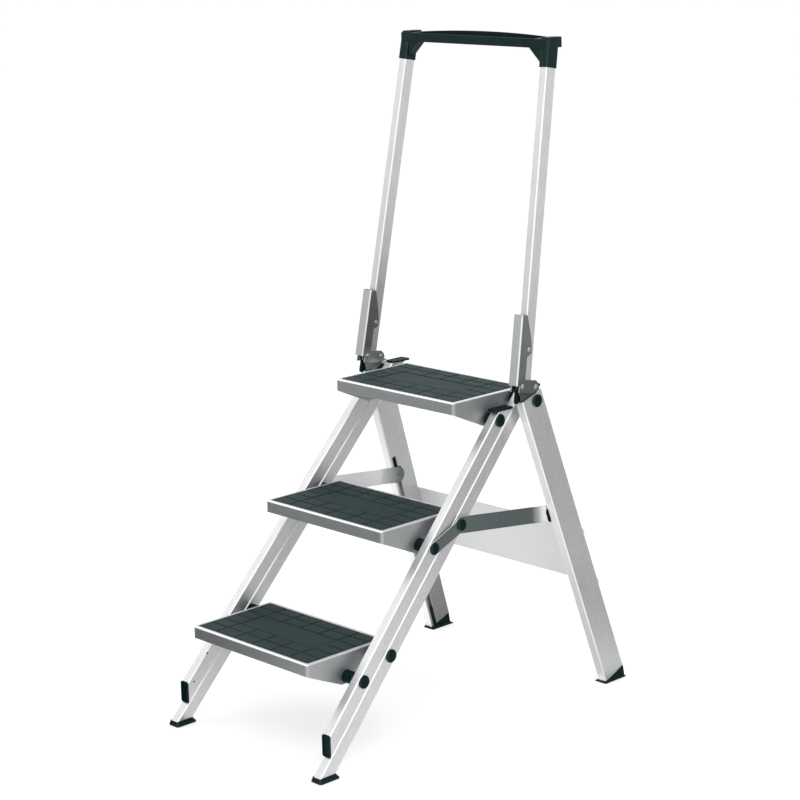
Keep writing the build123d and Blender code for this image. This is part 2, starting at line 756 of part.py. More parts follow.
with BuildPart() as rear_panel:
    with BuildSketch(back_plane):
        with BuildLine():
            Polyline(
                (panel_half(up_top), -up_top),
                (panel_half(up_low), -up_low),
                (-panel_half(up_low), -up_low),
                (-panel_half(up_top), -up_top),
                close=True,
            )
        make_face()
    extrude(amount=panel_t)
    with BuildSketch(back_plane.offset(panel_t)):
        for a, b in ((up_top, up_top - hem_h), (up_low + hem_h, up_low)):
            with BuildLine():
                Polyline(
                    (panel_half(a), -a),
                    (panel_half(b), -b),
                    (-panel_half(b), -b),
                    (-panel_half(a), -a),
                    close=True,
                )
            make_face()
    extrude(amount=panel_t)
rear_panel.part.label = "rear_panel"
export_step(rear_panel.part, "parts/rear_panel.step")

with BuildPart() as panel_rivets:
    with BuildSketch(back_plane.offset(2 * panel_t)):
        for u in (up_top - hem_h / 2, up_low + hem_h / 2):
            with Locations((panel_half(u) + panel_in - leg_w / 2, -u)):
                Circle(rivet_d / 2)
    extrude(amount=rivet_h)
    fillet(panel_rivets.faces().sort_by(Axis((0, 0, 0), (0, cb, sb)))[-2:].edges(), rivet_h / 2)
    mirror(about=Plane.YZ)
panel_rivets.part.label = "panel_rivets"
export_step(panel_rivets.part, "parts/panel_rivets.step")

# brackets on the legs: two plates a side, with a hole for the hinge pin and a seat for the stop pin
stop_y, stop_z = hand_pt(stop_back, 0)
stop_y, stop_z = stop_y + p_y, stop_z + p_z
base_pts = [
    hand_pt(-boss_r, 0),
    hand_pt(boss_r, 0),
    hand_pt(stop_back - lobe, 0),
    hand_pt(stop_back + lobe, 0),
    leg_pt(-lobe, leg_top),
    leg_pt(-lobe, lobe),
    leg_pt(lobe, lobe),
    leg_pt(lobe, -tongue),
    leg_pt(leg_front - leg_wall - face_gap, -tongue),
    leg_pt(leg_front - leg_wall - face_gap, leg_top),
]
with BuildPart() as leg_bracket_right:
    for off in (base_half - base_t, -base_half):
        with BuildSketch(leg_side.offset(off)):
            with BuildLine():
                Polyline(*base_pts, close=True)
            make_face()
            with Locations(hand_pt(0, 0)):
                Circle(boss_r)
        extrude(amount=base_t)
    with BuildSketch(Plane.YZ):
        with Locations((o_y, o_z)):
            Circle(hinge_d / 2 + run_fit)
        with Locations((stop_y, stop_z)):
            Circle(hinge_d / 2 + seat_fit)
        with Locations((stop_y + 10 * sg, stop_z + 10 * cg)):
            Rectangle(hinge_d + 2 * seat_fit, 20, rotation=-hand_lean)
        with Locations((p_y + tongue_y, p_z + tongue_z)):
            Circle(tongue_rivet_d / 2 + tight_fit)
    extrude(amount=big, mode=Mode.SUBTRACT)
leg_bracket_right.part.label = "leg_bracket_right"
export_step(leg_bracket_right.part, "parts/leg_bracket_right.step")

with BuildPart() as leg_bracket_left:
    mirror(leg_bracket_right.part, about=Plane.YZ)
leg_bracket_left.part.label = "leg_bracket_left"
export_step(leg_bracket_left.part, "parts/leg_bracket_left.step")

# rivets through the legs and the bracket plates
with BuildPart() as bracket_rivets:
    z = p_z + tongue_z
    with BuildSketch(Plane.YZ.offset(leg_in(z) - 1)):
        with Locations((p_y + tongue_y, z)):
            Circle(tongue_rivet_d / 2)
    extrude(amount=leg_w + 2)
    mirror(about=Plane.YZ)
bracket_rivets.part.label = "bracket_rivets"
export_step(bracket_rivets.part, "parts/bracket_rivets.step")

# plastic noses between the bracket plates, ahead of the hinge pin
nose_half = base_half - base_t - nose_fit
with BuildPart() as bracket_noses:
    with BuildSketch(leg_side.offset(-nose_half)):
        with BuildLine():
            Polyline(
                hand_pt(-boss_r, 0),
                hand_pt(-boss_r, -nose_h),
                hand_pt(-boss_r / 2, -nose_h - nose_tip),
                leg_pt(leg_front + face_gap, 0),
                leg_pt(leg_front + face_gap, leg_top + face_gap),
                leg_pt(leg_front / 2, leg_top + face_gap),
                hand_pt(boss_r, 0),
                close=True,
            )
        make_face()
        with Locations(hand_pt(0, 0)):
            Circle(boss_r)
            Circle(hinge_d / 2 + seat_fit, mode=Mode.SUBTRACT)
    extrude(amount=2 * nose_half)
    mirror(about=Plane.YZ)
bracket_noses.part.label = "bracket_noses"
export_step(bracket_noses.part, "parts/bracket_noses.step")

# handrail brackets: a web ahead of the tube, a flange each side, ears round the pins
clip_pts = [
    (-web_ahead - clip_t, 0),
    (-web_ahead - clip_t, web_h),
    (0, web_h),
    (clip_rivet_back + tab / 2, clip_rivet_up + 3 * tab),
    (clip_rivet_back + tab, clip_rivet_up + tab / 2),
    (clip_rivet_back + tab, clip_rivet_up - tab),
    (tab, clip_rivet_up - 2 * tab),
    (tab, ear_up),
    (stop_back, ear_up),
    (stop_back + 1.5 * ear_round, ear_round),
    (stop_back + 2 * ear_round, 0),
    (stop_back + 1.5 * ear_round, -ear_round),
    (stop_back - ear_round, -ear_down),
    (-tab, -ear_down),
    (-tab, 0),
]
with BuildPart() as hand_bracket_right:
    with BuildSketch(hand_side):
        with BuildLine():
            Polyline(*clip_pts, close=True)
        make_face()
    extrude(amount=half_outer, both=True)
    with BuildSketch(hand_side):
        with Locations((big / 2 - web_ahead, 0)):
            Rectangle(big, big)
    extrude(amount=half_inner, both=True, mode=Mode.SUBTRACT)
    with BuildSketch(Plane.YZ):
        with Locations((o_y, o_z), (stop_y, stop_z)):
            Circle(hinge_d / 2 + tight_fit)
    extrude(amount=big, mode=Mode.SUBTRACT)
    with BuildSketch(hand_side):
        with Locations((clip_rivet_back, clip_rivet_up)):
            Circle(clip_rivet_d / 2 + tight_fit)
    extrude(amount=2 * half_outer, both=True, mode=Mode.SUBTRACT)
hand_bracket_right.part.label = "hand_bracket_right"
export_step(hand_bracket_right.part, "parts/hand_bracket_right.step")

with BuildPart() as hand_bracket_left:
    mirror(hand_bracket_right.part, about=Plane.YZ)
hand_bracket_left.part.label = "hand_bracket_left"
export_step(hand_bracket_left.part, "parts/hand_bracket_left.step")

with BuildPart() as hand_bracket_rivets:
    with BuildSketch(hand_side):
        with Locations((clip_rivet_back, clip_rivet_up)):
            Circle(clip_rivet_d / 2)
    extrude(amount=half_outer, both=True)
    for off in (half_outer, -half_outer - clip_rivet_h):
        with BuildSketch(hand_side.offset(off)):
            with Locations((clip_rivet_back, clip_rivet_up)):
                Circle(clip_rivet_head / 2)
        extrude(amount=clip_rivet_h)
    mirror(about=Plane.YZ)
hand_bracket_rivets.part.label = "hand_bracket_rivets"
export_step(hand_bracket_rivets.part, "parts/hand_bracket_rivets.step")

# hinge pins and stop pins, fixed in the handrail brackets
pin_half = half_outer + hand_splay * hinge_head_d / 2
for name, y, z in (("hinge_pins", o_y, o_z), ("stop_pins", stop_y, stop_z)):
    x = hand_x - hand_splay * (z - o_z)
    with BuildPart() as pins:
        with BuildSketch(Plane.YZ.offset(x - pin_half)):
            with Locations((y, z)):
                Circle(hinge_d / 2)
        extrude(amount=2 * pin_half)
        for off in (pin_half, -pin_half - hinge_head_h):
            with BuildSketch(Plane.YZ.offset(x + off)):
                with Locations((y, z)):
                    Circle(hinge_head_d / 2)
            extrude(amount=hinge_head_h)
        mirror(about=Plane.YZ)
    pins.part.label = "handrail_" + name
    export_step(pins.part, "parts/handrail_" + name + ".step")

# handrail tubes
tube_end = (handle_under + bar_h - tray_wall - o_z) / cg - tube_stop
with BuildPart() as handrail_tube_right:
    with BuildSketch(tube_plane.offset(tube_start)):
        with Locations((0, tube_d / 2)):
            RectangleRounded(tube_w, tube_d, tube_r)
            RectangleRounded(
                tube_w - 2 * tube_wall, tube_d - 2 * tube_wall, tube_r / 2, mode=Mode.SUBTRACT
            )
    extrude(amount=tube_end - tube_start)
    with BuildSketch(hand_side):
        with Locations((clip_rivet_back, clip_rivet_up)):
            Circle(clip_rivet_d / 2 + tight_fit)
    extrude(amount=2 * half_outer, both=True, mode=Mode.SUBTRACT)
handrail_tube_right.part.label = "handrail_tube_right"
export_step(handrail_tube_right.part, "parts/handrail_tube_right.step")

with BuildPart() as handrail_tube_left:
    mirror(handrail_tube_right.part, about=Plane.YZ)
handrail_tube_left.part.label = "handrail_tube_left"
export_step(handrail_tube_left.part, "parts/handrail_tube_left.step")

# handle: sockets on the tubes, a tray-shaped crossbar with an arched rear rim, corner gussets
bar_up = (handle_under - o_z) / cg
bar_y = o_y + (handle_under - o_z) * sg / cg - grip_wall
bar_x = hand_x - hand_splay * (handle_under + bar_h - o_z) + tube_w / 2 + grip_wall + bar_over
socket_x = hand_x - hand_splay * (handle_under - o_z) - tube_w / 2 - grip_wall
with BuildPart() as handle:
    with BuildSketch(Plane.XY.offset(handle_under)):
        with BuildLine():
            Polyline(
                (-bar_x, bar_y + bar_d), (-bar_x, bar_y), (bar_x, bar_y), (bar_x, bar_y + bar_d)
            )
            ThreePointArc(
                (bar_x, bar_y + bar_d), (0, bar_y + bar_d + bar_bow), (-bar_x, bar_y + bar_d)
            )
        make_face()
    extrude(amount=bar_h)
    fillet(handle.edges().filter_by(Axis.Z), bar_corner)
    # arched rear rim
    with BuildSketch(Plane.XY.offset(handle_under + bar_h)):
        with BuildLine():
            rim_out = ThreePointArc(
                (bar_x - arch_in, bar_y + bar_d),
                (0, bar_y + bar_d + bar_bow - arch_step),
                (-bar_x + arch_in, bar_y + bar_d),
            )
            rim_in = ThreePointArc(
                (bar_x - arch_in, bar_y + bar_d - tray_wall),
                (0, bar_y + bar_d + bar_bow - arch_step - tray_wall),
                (-bar_x + arch_in, bar_y + bar_d - tray_wall),
            )
            Line(rim_out @ 0, rim_in @ 0)
            Line(rim_out @ 1, rim_in @ 1)
        make_face()
    extrude(amount=arch_h)
    with BuildSketch(Plane.XZ):
        with BuildLine():
            arch_z = handle_under + bar_h
            arch = ThreePointArc(
                (-bar_x + arch_in, arch_z), (0, arch_z + arch_h), (bar_x - arch_in, arch_z)
            )
            Polyline(
                arch @ 1,
                (2 * bar_x, arch_z),
                (2 * bar_x, arch_z + 2 * arch_h),
                (-2 * bar_x, arch_z + 2 * arch_h),
                (-2 * bar_x, arch_z),
                arch @ 0,
            )
        make_face()
    extrude(amount=-big, mode=Mode.SUBTRACT)
    # tray hollow
    with BuildSketch(Plane.XY.offset(handle_under + tray_floor)):
        with BuildLine():
            tray_x = socket_x - tray_wall
            Polyline(
                (-tray_x, bar_y + bar_d - tray_wall),
                (-tray_x, bar_y + tray_wall),
                (tray_x, bar_y + tray_wall),
                (tray_x, bar_y + bar_d - tray_wall),
            )
            ThreePointArc(
                (tray_x, bar_y + bar_d - tray_wall),
                (0, bar_y + bar_d + bar_bow - tray_wall - 2 * arch_step),
                (-tray_x, bar_y + bar_d - tray_wall),
            )
        make_face()
    extrude(amount=bar_h, mode=Mode.SUBTRACT)
    # sockets
    with BuildSketch(tube_plane.offset(bar_up - socket_l)):
        with Locations((0, tube_d / 2)):
            RectangleRounded(tube_w + 2 * grip_wall, tube_d + 2 * grip_wall, tube_r)
    extrude(amount=socket_l + tray_floor / 2)
    # gussets
    with BuildSketch(Plane.XZ.offset(-bar_y - gusset_set)):
        with BuildLine():
            Polyline(
                (socket_x - gusset, handle_under + gusset_lap),
                (socket_x - gusset, handle_under),
                (socket_x + gusset_lap, handle_under - gusset),
                (socket_x + 2 * gusset_lap, handle_under - gusset),
                (socket_x + 2 * gusset_lap, handle_under + gusset_lap),
                close=True,
            )
        make_face()
    extrude(amount=-gusset_d)
    mirror(about=Plane.YZ)
    with BuildSketch(tube_plane):
        with Locations((0, tube_d / 2)):
            RectangleRounded(tube_w + 2 * grip_fit, tube_d + 2 * grip_fit, tube_r)
    hole_right = extrude(amount=tube_end + grip_fit, mode=Mode.PRIVATE)
    add(hole_right, mode=Mode.SUBTRACT)
    add(mirror(hole_right, about=Plane.YZ, mode=Mode.PRIVATE), mode=Mode.SUBTRACT)
handle.part.label = "handle"
export_step(handle.part, "parts/handle.step")

print("rail angle", round(rail_ang, 3), "fold", round(180 - rail_ang, 3))
print("leg fold", round(leg_lean + 90 - rail_ang, 3))
print("pivots B", [(round(y, 3), round(z, 3)) for y, z in zip(b_y, b_z)])
print("pivots A", [(round(y, 3), round(z, 3)) for y, z in zip(a_y, a_z)])
print("hinge pin", round(o_y, 3), round(o_z, 3), "strut pin", round(pin_y, 3), round(pin_z, 3))
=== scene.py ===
import math
import bmesh
import bpy
from mathutils import Matrix, Vector


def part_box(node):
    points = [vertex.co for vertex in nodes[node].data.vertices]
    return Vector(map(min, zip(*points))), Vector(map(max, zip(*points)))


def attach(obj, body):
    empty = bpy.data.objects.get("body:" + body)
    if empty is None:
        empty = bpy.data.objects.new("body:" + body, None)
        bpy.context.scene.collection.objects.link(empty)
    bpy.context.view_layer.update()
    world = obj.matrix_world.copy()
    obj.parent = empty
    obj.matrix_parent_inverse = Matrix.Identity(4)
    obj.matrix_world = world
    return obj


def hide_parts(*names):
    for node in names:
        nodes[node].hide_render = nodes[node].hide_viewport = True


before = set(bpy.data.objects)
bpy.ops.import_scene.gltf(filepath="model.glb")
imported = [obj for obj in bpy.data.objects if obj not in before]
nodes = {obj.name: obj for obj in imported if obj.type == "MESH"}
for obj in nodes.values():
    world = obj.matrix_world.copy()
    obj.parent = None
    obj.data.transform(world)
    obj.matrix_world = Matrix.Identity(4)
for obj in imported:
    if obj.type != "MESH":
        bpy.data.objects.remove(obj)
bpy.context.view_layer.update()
scene = bpy.context.scene
print("frame loaded,", len(nodes), "nodes")


def deselect():
    if bpy.context.mode != "OBJECT":
        bpy.ops.object.mode_set(mode="OBJECT")
    bpy.ops.object.select_all(action="DESELECT")


# camera at the photograph's viewpoint
shot = {
    "place": (3.3444, -3.1742, 1.7563),
    "azimuth": 46.184,  # degrees
    "elevation": 13.286,
    "roll": -1.3426,
    "focalPixels": 2236.58,
    "imagePixels": 800,
    "sensor": 36.0,  # mm
}


def makeCamera():
    az, el, roll = (math.radians(shot[k]) for k in ("azimuth", "elevation", "roll"))
    back = Vector((math.sin(az) * math.cos(el), -math.cos(az) * math.cos(el), math.sin(el)))
    right = Vector((math.cos(az), math.sin(az), 0))
    up = back.cross(right)
    turnedRight = math.cos(roll) * right + math.sin(roll) * up
    turnedUp = math.cos(roll) * up - math.sin(roll) * right
    data = bpy.data.cameras.new("shotCamera")
    data.sensor_width = shot["sensor"]
    data.lens = shot["focalPixels"] / shot["imagePixels"] * shot["sensor"]
    camera = bpy.data.objects.new("shotCamera", data)
    turn = Matrix((turnedRight, turnedUp, back)).transposed().to_4x4()
    camera.matrix_world = Matrix.Translation(shot["place"]) @ turn
    scene.collection.objects.link(camera)
    scene.camera = camera


lamps = {
    "frontBox": {"place": (-2.2, -2.0, 2.9), "aim": (0, -0.1, 0.6), "size": (2.6, 2.2), "power": 17},
    "keyBox": {"place": (2.7, -1.9, 3.3), "aim": (0, 0, 0.6), "size": (2.4, 2.2), "power": 34},
    "rearBox": {"place": (0.4, 2.6, 3.2), "aim": (0, 0.1, 0.7), "size": (2.4, 1.8), "power": 18},
}


def aimed(place, aim):
    turn = (Vector(aim) - Vector(place)).to_track_quat("-Z", "Y").to_matrix().to_4x4()
    return Matrix.Translation(place) @ turn


def makeLamps():
    for name, lamp in lamps.items():
        data = bpy.data.lights.new(name, "AREA")
        data.shape = "RECTANGLE"
        data.size, data.size_y = lamp["size"]
        data.energy = lamp["power"]
        light = bpy.data.objects.new(name, data)
        light.matrix_world = aimed(lamp["place"], lamp["aim"])
        scene.collection.objects.link(light)


# node helpers
def feed(tree, socket, value):
    # another node's output is linked, a plain value is set on the socket
    if isinstance(value, bpy.types.NodeSocket):
        tree.links.new(value, socket)
    else:
        socket.default_value = value


def addNode(tree, kind, label, **inputs):
    node = tree.nodes.new(kind)
    node.label = label
    for key, value in inputs.items():
        feed(tree, node.inputs[key.replace("_", " ")], value)
    return node


def addMath(tree, how, *terms):
    node = addNode(tree, "ShaderNodeMath", how.lower())
    node.operation = how
    for socket, term in zip(node.inputs, terms):
        feed(tree, socket, term)
    return node.outputs[0]


def span(tree, source, low, high, start=0.25, end=0.75):
    ends = {"From_Min": start, "From_Max": end, "To_Min": low, "To_Max": high}
    return addNode(tree, "ShaderNodeMapRange", "span", Value=source, **ends).outputs[0]


def bareMaterial(name):
    material = bpy.data.materials.new(name)
    material.use_nodes = True
    tree = material.node_tree
    tree.nodes.remove(tree.nodes["Principled BSDF"])
    return material, tree, tree.nodes["Material Output"].inputs["Surface"]


backdrop = {
    "floorSize": 60.0,
    "floorDrop": 0.0005,  # just under the feet
    "floorColour": 0.84,
    "floorGlow": 0.40,
    "worldLight": 0.72,
}


def seenRays(tree):
    # camera, mirror and glass rays see the pale backdrop
    rays = addNode(tree, "ShaderNodeLightPath", "light path").outputs
    seen = addMath(tree, "MAXIMUM", rays["Is Camera Ray"], rays["Is Glossy Ray"])
    return addMath(tree, "MAXIMUM", seen, rays["Is Transmission Ray"])


def makeWorld():
    world = bpy.data.worlds.new("studio")
    scene.world = world
    world.use_nodes = True
    tree = world.node_tree
    ground = tree.nodes["Background"].inputs
    ground["Color"].default_value = (1, 1, 1, 1)
    feed(tree, ground["Strength"], span(tree, seenRays(tree), backdrop["worldLight"], 1.0, 0.0, 1.0))


def makeFloor():
    deselect()
    bpy.ops.mesh.primitive_plane_add(size=backdrop["floorSize"], location=(0, 0, -backdrop["floorDrop"]))
    floor = bpy.context.object
    floor.name = "studioFloor"
    material, tree, surface = bareMaterial("paleFloor")
    grey = backdrop["floorColour"]
    paint = addNode(tree, "ShaderNodeBsdfDiffuse", "paint", Color=(grey, grey, grey, 1))
    lift = addMath(tree, "MULTIPLY", seenRays(tree), backdrop["floorGlow"])
    glow = addNode(tree, "ShaderNodeEmission", "glow", Strength=lift)
    both = addNode(tree, "ShaderNodeAddShader", "floor")
    feed(tree, both.inputs[0], paint.outputs[0])
    feed(tree, both.inputs[1], glow.outputs[0])
    feed(tree, surface, both.outputs[0])
    floor.data.materials.append(material)


# grey boards that only reflections see, flat on the floor unless they have an aim
cards = {
    "underSteps": {"place": (0.15, 0.06, 0.002), "size": (0.40, 0.60), "grey": 0.60},
    "betweenLegs": {"place": (0.0, 0.70, 0.002), "size": (0.64, 0.66), "grey": 0.22},
    "besideLeg": {"place": (1.16, 0.84, 0.002), "size": (1.46, 0.60), "grey": 0.36},
    "farRear": {"place": (2.5, 2.4, 0.002), "size": (1.8, 1.4), "grey": 0.14},
    "rearBoard": {
        "place": (1.24, 0.85, 0.42),
        "aim": (0.39, 0.05, 0.42),
        "size": (1.0, 0.48),
        "grey": 0.17,
    },
    "besideTube": {
        "place": (0.06, 0.42, 0.71),
        "aim": (-0.2, 0.16, 0.77),
        "size": (0.24, 0.28),
        "grey": 0.08,
    },
    "floorFront": {"place": (-1.6, -1.65, 0.002), "size": (2.9, 2.5), "grey": 0.05},
    "webFront": {
        "place": (-1.5, -1.75, 0.80),
        "aim": (0, -0.2, 0.80),
        "size": (2.4, 0.40),
        "grey": 0.85,
    },
}


def makeCards():
    for name, card in cards.items():
        deselect()
        bpy.ops.mesh.primitive_plane_add(size=1)
        board = bpy.context.object
        board.name = name
        place, grey = Vector(card["place"]), card["grey"]
        aim = card.get("aim", place + Vector((0, 0, 1)))
        board.matrix_world = aimed(place, aim) @ Matrix.Diagonal((*card["size"], 1, 1))
        material, tree, surface = bareMaterial(name)
        tone = addNode(tree, "ShaderNodeEmission", "tone", Color=(grey, grey, grey, 1), Strength=1.0)
        feed(tree, surface, tone.outputs[0])
        board.data.materials.append(material)
        board.visible_camera = False
        board.visible_diffuse = False
        board.visible_shadow = False


makeCamera()
makeLamps()
makeWorld()
makeFloor()
makeCards()
scene.view_settings.view_transform = "Standard"
print("studio set")


# effects that several finishes share
def newGroup(name, ins, outs):
    group = bpy.data.node_groups.new(name, "ShaderNodeTree")
    group.interface.new_socket("Vector", in_out="INPUT", socket_type="NodeSocketVector")
    for label in ins:
        group.interface.new_socket(label, in_out="INPUT", socket_type="NodeSocketFloat")
    for label in outs:
        group.interface.new_socket(label, in_out="OUTPUT", socket_type="NodeSocketFloat")
    start = group.nodes.new("NodeGroupInput")
    end = group.nodes.new("NodeGroupOutput")
    return group, start.outputs, end.inputs


# detail and roughness of each noise, and its scale where the finish doesn't give one
noises = {
    "lines": (5.0, 0.65),
    "clouds": (3.0, 0.5, 14.0),
    "specks": (2.0, 0.6, 420.0),
    "flow": (4.0, 0.6, 22.0),
    "patches": (5.0, 0.7, 160.0),
}
cornerFrom = (0.09, 0.22)  # how far a corner has turned where its line starts and is full


def addNoise(tree, label, vector, *scale):
    values = dict(zip(("Detail", "Roughness", "Scale"), (*noises[label], *scale)))
    return addNode(tree, "ShaderNodeTexNoise", label, Vector=vector, **values).outputs[0]


def splitAxes(tree, vector):
    return addNode(tree, "ShaderNodeSeparateXYZ", "split", Vector=vector).outputs


def makeBrushedGrain():
    # fine lines along local Z, broad cloudy patches and small specks
    group, start, end = newGroup("brushedGrain", ("Fineness", "Draw"), ("Line", "Cloud", "Speck"))
    axes = splitAxes(group, start["Vector"])
    drawn = addMath(group, "MULTIPLY", axes["Z"], start["Draw"])
    long = addNode(group, "ShaderNodeCombineXYZ", "drawn out", X=axes["X"], Y=axes["Y"], Z=drawn)
    feed(group, end["Line"], addNoise(group, "lines", long.outputs[0], start["Fineness"]))
    feed(group, end["Cloud"], addNoise(group, "clouds", start["Vector"]))
    feed(group, end["Speck"], addNoise(group, "specks", start["Vector"]))
    return group


def makeMouldGrain():
    # pits of a spark-finished mould, with faint flow marks
    group, start, end = newGroup("mouldGrain", ("Fineness",), ("Pit", "Flow"))
    pits = {"Vector": start["Vector"], "Scale": start["Fineness"]}
    feed(group, end["Pit"], addNode(group, "ShaderNodeTexVoronoi", "pits", **pits).outputs["Distance"])
    feed(group, end["Flow"], addNoise(group, "flow", start["Vector"]))
    return group


def makeFloorDust():
    # pale dust that thins out with height above the floor
    group, start, end = newGroup("floorDust", ("Reach",), ("Mask",))
    fade = span(group, splitAxes(group, start["Vector"])["Z"], 1.0, 0.0, 0.0, start["Reach"])
    patches = addNoise(group, "patches", start["Vector"])
    feed(group, end["Mask"], addMath(group, "MULTIPLY", fade, patches))
    return group


def makeCornerLine():
    # marks the rounded corners that run along local Z, which alone face both X and Y, for the painted
    # corner highlights
    group, start, end = newGroup("cornerLine", (), ("Mask",))
    axes = splitAxes(group, start["Vector"])
    both = addMath(group, "ABSOLUTE", addMath(group, "MULTIPLY", axes["X"], axes["Y"]))
    feed(group, end["Mask"], span(group, both, 0.0, 1.0, *cornerFrom))
    return group


brushedGrain = makeBrushedGrain()
mouldGrain = makeMouldGrain()
floorDust = makeFloorDust()
cornerLine = makeCornerLine()


def ramp(tree, source, low, high, start=0.3, end=0.7):
    node = addNode(tree, "ShaderNodeValToRGB", "tones")
    for mark, place, colour in zip(node.color_ramp.elements, (start, end), (low, high)):
        mark.position = place
        mark.color = (*colour, 1)
    feed(tree, node.inputs[0], source)
    return node.outputs["Color"]


def blendColours(tree, how, factor, first, second):
    node = addNode(tree, "ShaderNodeMix", how.lower())
    node.data_type = "RGBA"
    node.blend_type = how
    feed(tree, node.inputs[0], factor)
    for socket, colour in ((node.inputs[6], first), (node.inputs[7], second)):
        feed(tree, socket, (*colour, 1) if isinstance(colour, tuple) else colour)
    return node.outputs[2]


def startMaterial(name, turn=(0, 0, 0)):
    # turn is the pattern's turn about each axis, in degrees
    material = bpy.data.materials.new(name)
    material.use_nodes = True
    tree = material.node_tree
    shader = tree.nodes["Principled BSDF"].inputs
    place = addNode(tree, "ShaderNodeTexCoord", "place").outputs
    turn = [math.radians(a) for a in turn]
    vector = addNode(tree, "ShaderNodeMapping", "turned", Vector=place["Object"], Rotation=turn)
    facing = addNode(tree, "ShaderNodeMapping", "turned normal", Vector=place["Normal"], Rotation=turn)
    facing.vector_type = "VECTOR"
    return material, tree, shader, vector.outputs[0], facing.outputs[0]


def addGroup(tree, group, vector, **values):
    node = addNode(tree, "ShaderNodeGroup", group.name)
    node.node_tree = group
    for key, value in {"Vector": vector, **values}.items():
        feed(tree, node.inputs[key], value)
    return node.outputs


# painted highlight: a pale line along the rounded corners, where they would catch the light
def paintedCornerLines(tree, colour, facing, look):
    mask = addGroup(tree, cornerLine, facing)["Mask"]
    cornerShine = span(tree, mask, 0.0, look["cornerHighlight"], 0.0, 1.0)
    return blendColours(tree, "MIX", cornerShine, colour, look["corner"])


def addBump(tree, shader, height, look):
    bump = addNode(tree, "ShaderNodeBump", "bump", Strength=look["bump"], Distance=look["bumpDepth"])
    feed(tree, bump.inputs["Height"], height)
    feed(tree, shader["Normal"], bump.outputs[0])


def brushedMetal(name, look, turn):
    material, tree, shader, vector, facing = startMaterial(name, turn)
    place = tree.nodes["Texture Coordinate"].outputs
    grain = addGroup(tree, brushedGrain, vector, Fineness=look["fineness"], Draw=look["draw"])
    white = (1.0, 1.0, 1.0)
    lines = ramp(tree, grain["Line"], look["dark"], look["light"])
    clouds = ramp(tree, grain["Cloud"], look["cloud"], white)
    specks = ramp(tree, grain["Speck"], look["speck"], white, 0.35, 0.6)
    colour = blendColours(tree, "MULTIPLY", 1.0, lines, clouds)
    colour = blendColours(tree, "MULTIPLY", 1.0, colour, specks)
    if look["endFrom"]:
        # painted light or shade: another tone past a place along an object axis
        along = splitAxes(tree, place["Object"])[look["endAxis"]]
        past = span(tree, along, 0.0, 1.0, *look["endFrom"])
        colour = blendColours(tree, "MIX", past, colour, look["endColour"])
    if look["facingHighlight"]:
        # painted highlight on faces that turn towards one side, as if lit from there
        rise = splitAxes(tree, place["Normal"])[look["rimAxis"]]
        turning = span(tree, rise, 0.0, look["facingHighlight"], *look["rimFrom"])
        colour = blendColours(tree, "MIX", turning, colour, look["facingHighlightColour"])
    feed(tree, shader["Base Color"], paintedCornerLines(tree, colour, facing, look))
    feed(tree, shader["Roughness"], span(tree, grain["Line"], *look["rough"]))
    feed(tree, shader["Metallic"], look["metal"])
    addBump(tree, shader, grain["Line"], look)
    return material


def mouldedPlastic(name, look):
    material, tree, shader, vector, facing = startMaterial(name)
    grain = addGroup(tree, mouldGrain, vector, Fineness=look["fineness"])
    colour = ramp(tree, grain["Flow"], look["dark"], look["light"])
    if look["dust"]:
        dust = addGroup(tree, floorDust, vector, Reach=look["dustReach"])["Mask"]
        amount = span(tree, dust, 0.0, look["dust"], 0.2, 0.7)
        colour = blendColours(tree, "MIX", amount, colour, look["dustColour"])
    feed(tree, shader["Base Color"], paintedCornerLines(tree, colour, facing, look))
    feed(tree, shader["Roughness"], span(tree, grain["Flow"], *look["rough"]))
    feed(tree, shader["Specular IOR Level"], look["gloss"])
    addBump(tree, shader, grain["Pit"], look)
    return material


aluminium = {
    "fineness": 900.0,  # lines per metre across the grain, about
    "draw": 0.03,  # how far the lines are drawn out
    "dark": (0.62, 0.625, 0.63),
    "light": (0.78, 0.785, 0.79),
    "cloud": (0.93, 0.93, 0.935),
    "speck": (0.88, 0.88, 0.88),
    # pale line painted along the rounded corners as a highlight
    "corner": (0.97, 0.97, 0.97),
    "cornerHighlight": 0.8,
    "endFrom": None,
    "endAxis": "Y",
    "facingHighlight": 0.0,
    "rimAxis": "Z",
    "rimFrom": (0.2, 0.5),
    "facingHighlightColour": (0.97, 0.97, 0.97),
    "metal": 1.0,
    "rough": (0.42, 0.54),
    "bump": 0.12,
    "bumpDepth": 0.0002,
}
panSheet = {
    **aluminium,
    "dark": (0.39, 0.41, 0.412),
    "light": (0.49, 0.51, 0.512),
    "rough": (0.46, 0.58),
    # painted highlight on the pans' upturned rims
    "facingHighlight": 0.5,
}
panelSheet = {
    **aluminium,
    "dark": (0.56, 0.56, 0.565),
    "light": (0.66, 0.66, 0.665),
    "rough": (0.5, 0.6),
    "metal": 0.5,
}
steel = {**aluminium, "dark": (0.21, 0.225, 0.225), "light": (0.27, 0.285, 0.285), "rough": (0.40, 0.50)}
# painted shaded and lit copies of one steel, for the right and left leg brackets
shadedPlateSteel = {**steel, "dark": (0.11, 0.125, 0.125), "light": (0.15, 0.165, 0.165)}
litPlateSteel = {**steel, "dark": (0.30, 0.315, 0.315), "light": (0.38, 0.395, 0.395)}
# the bracket's lower part is painted darker below a height, as shade
earSteel = {
    **steel,
    "endAxis": "Z",
    "endFrom": (0.730, 0.714),
    "endColour": (0.16, 0.18, 0.18),
    # painted highlight on the faces that turn to the front
    "facingHighlight": 1.0,
    "rimAxis": "Y",
    "rimFrom": (-0.6, -0.9),
    "facingHighlightColour": (0.47, 0.475, 0.48),
}
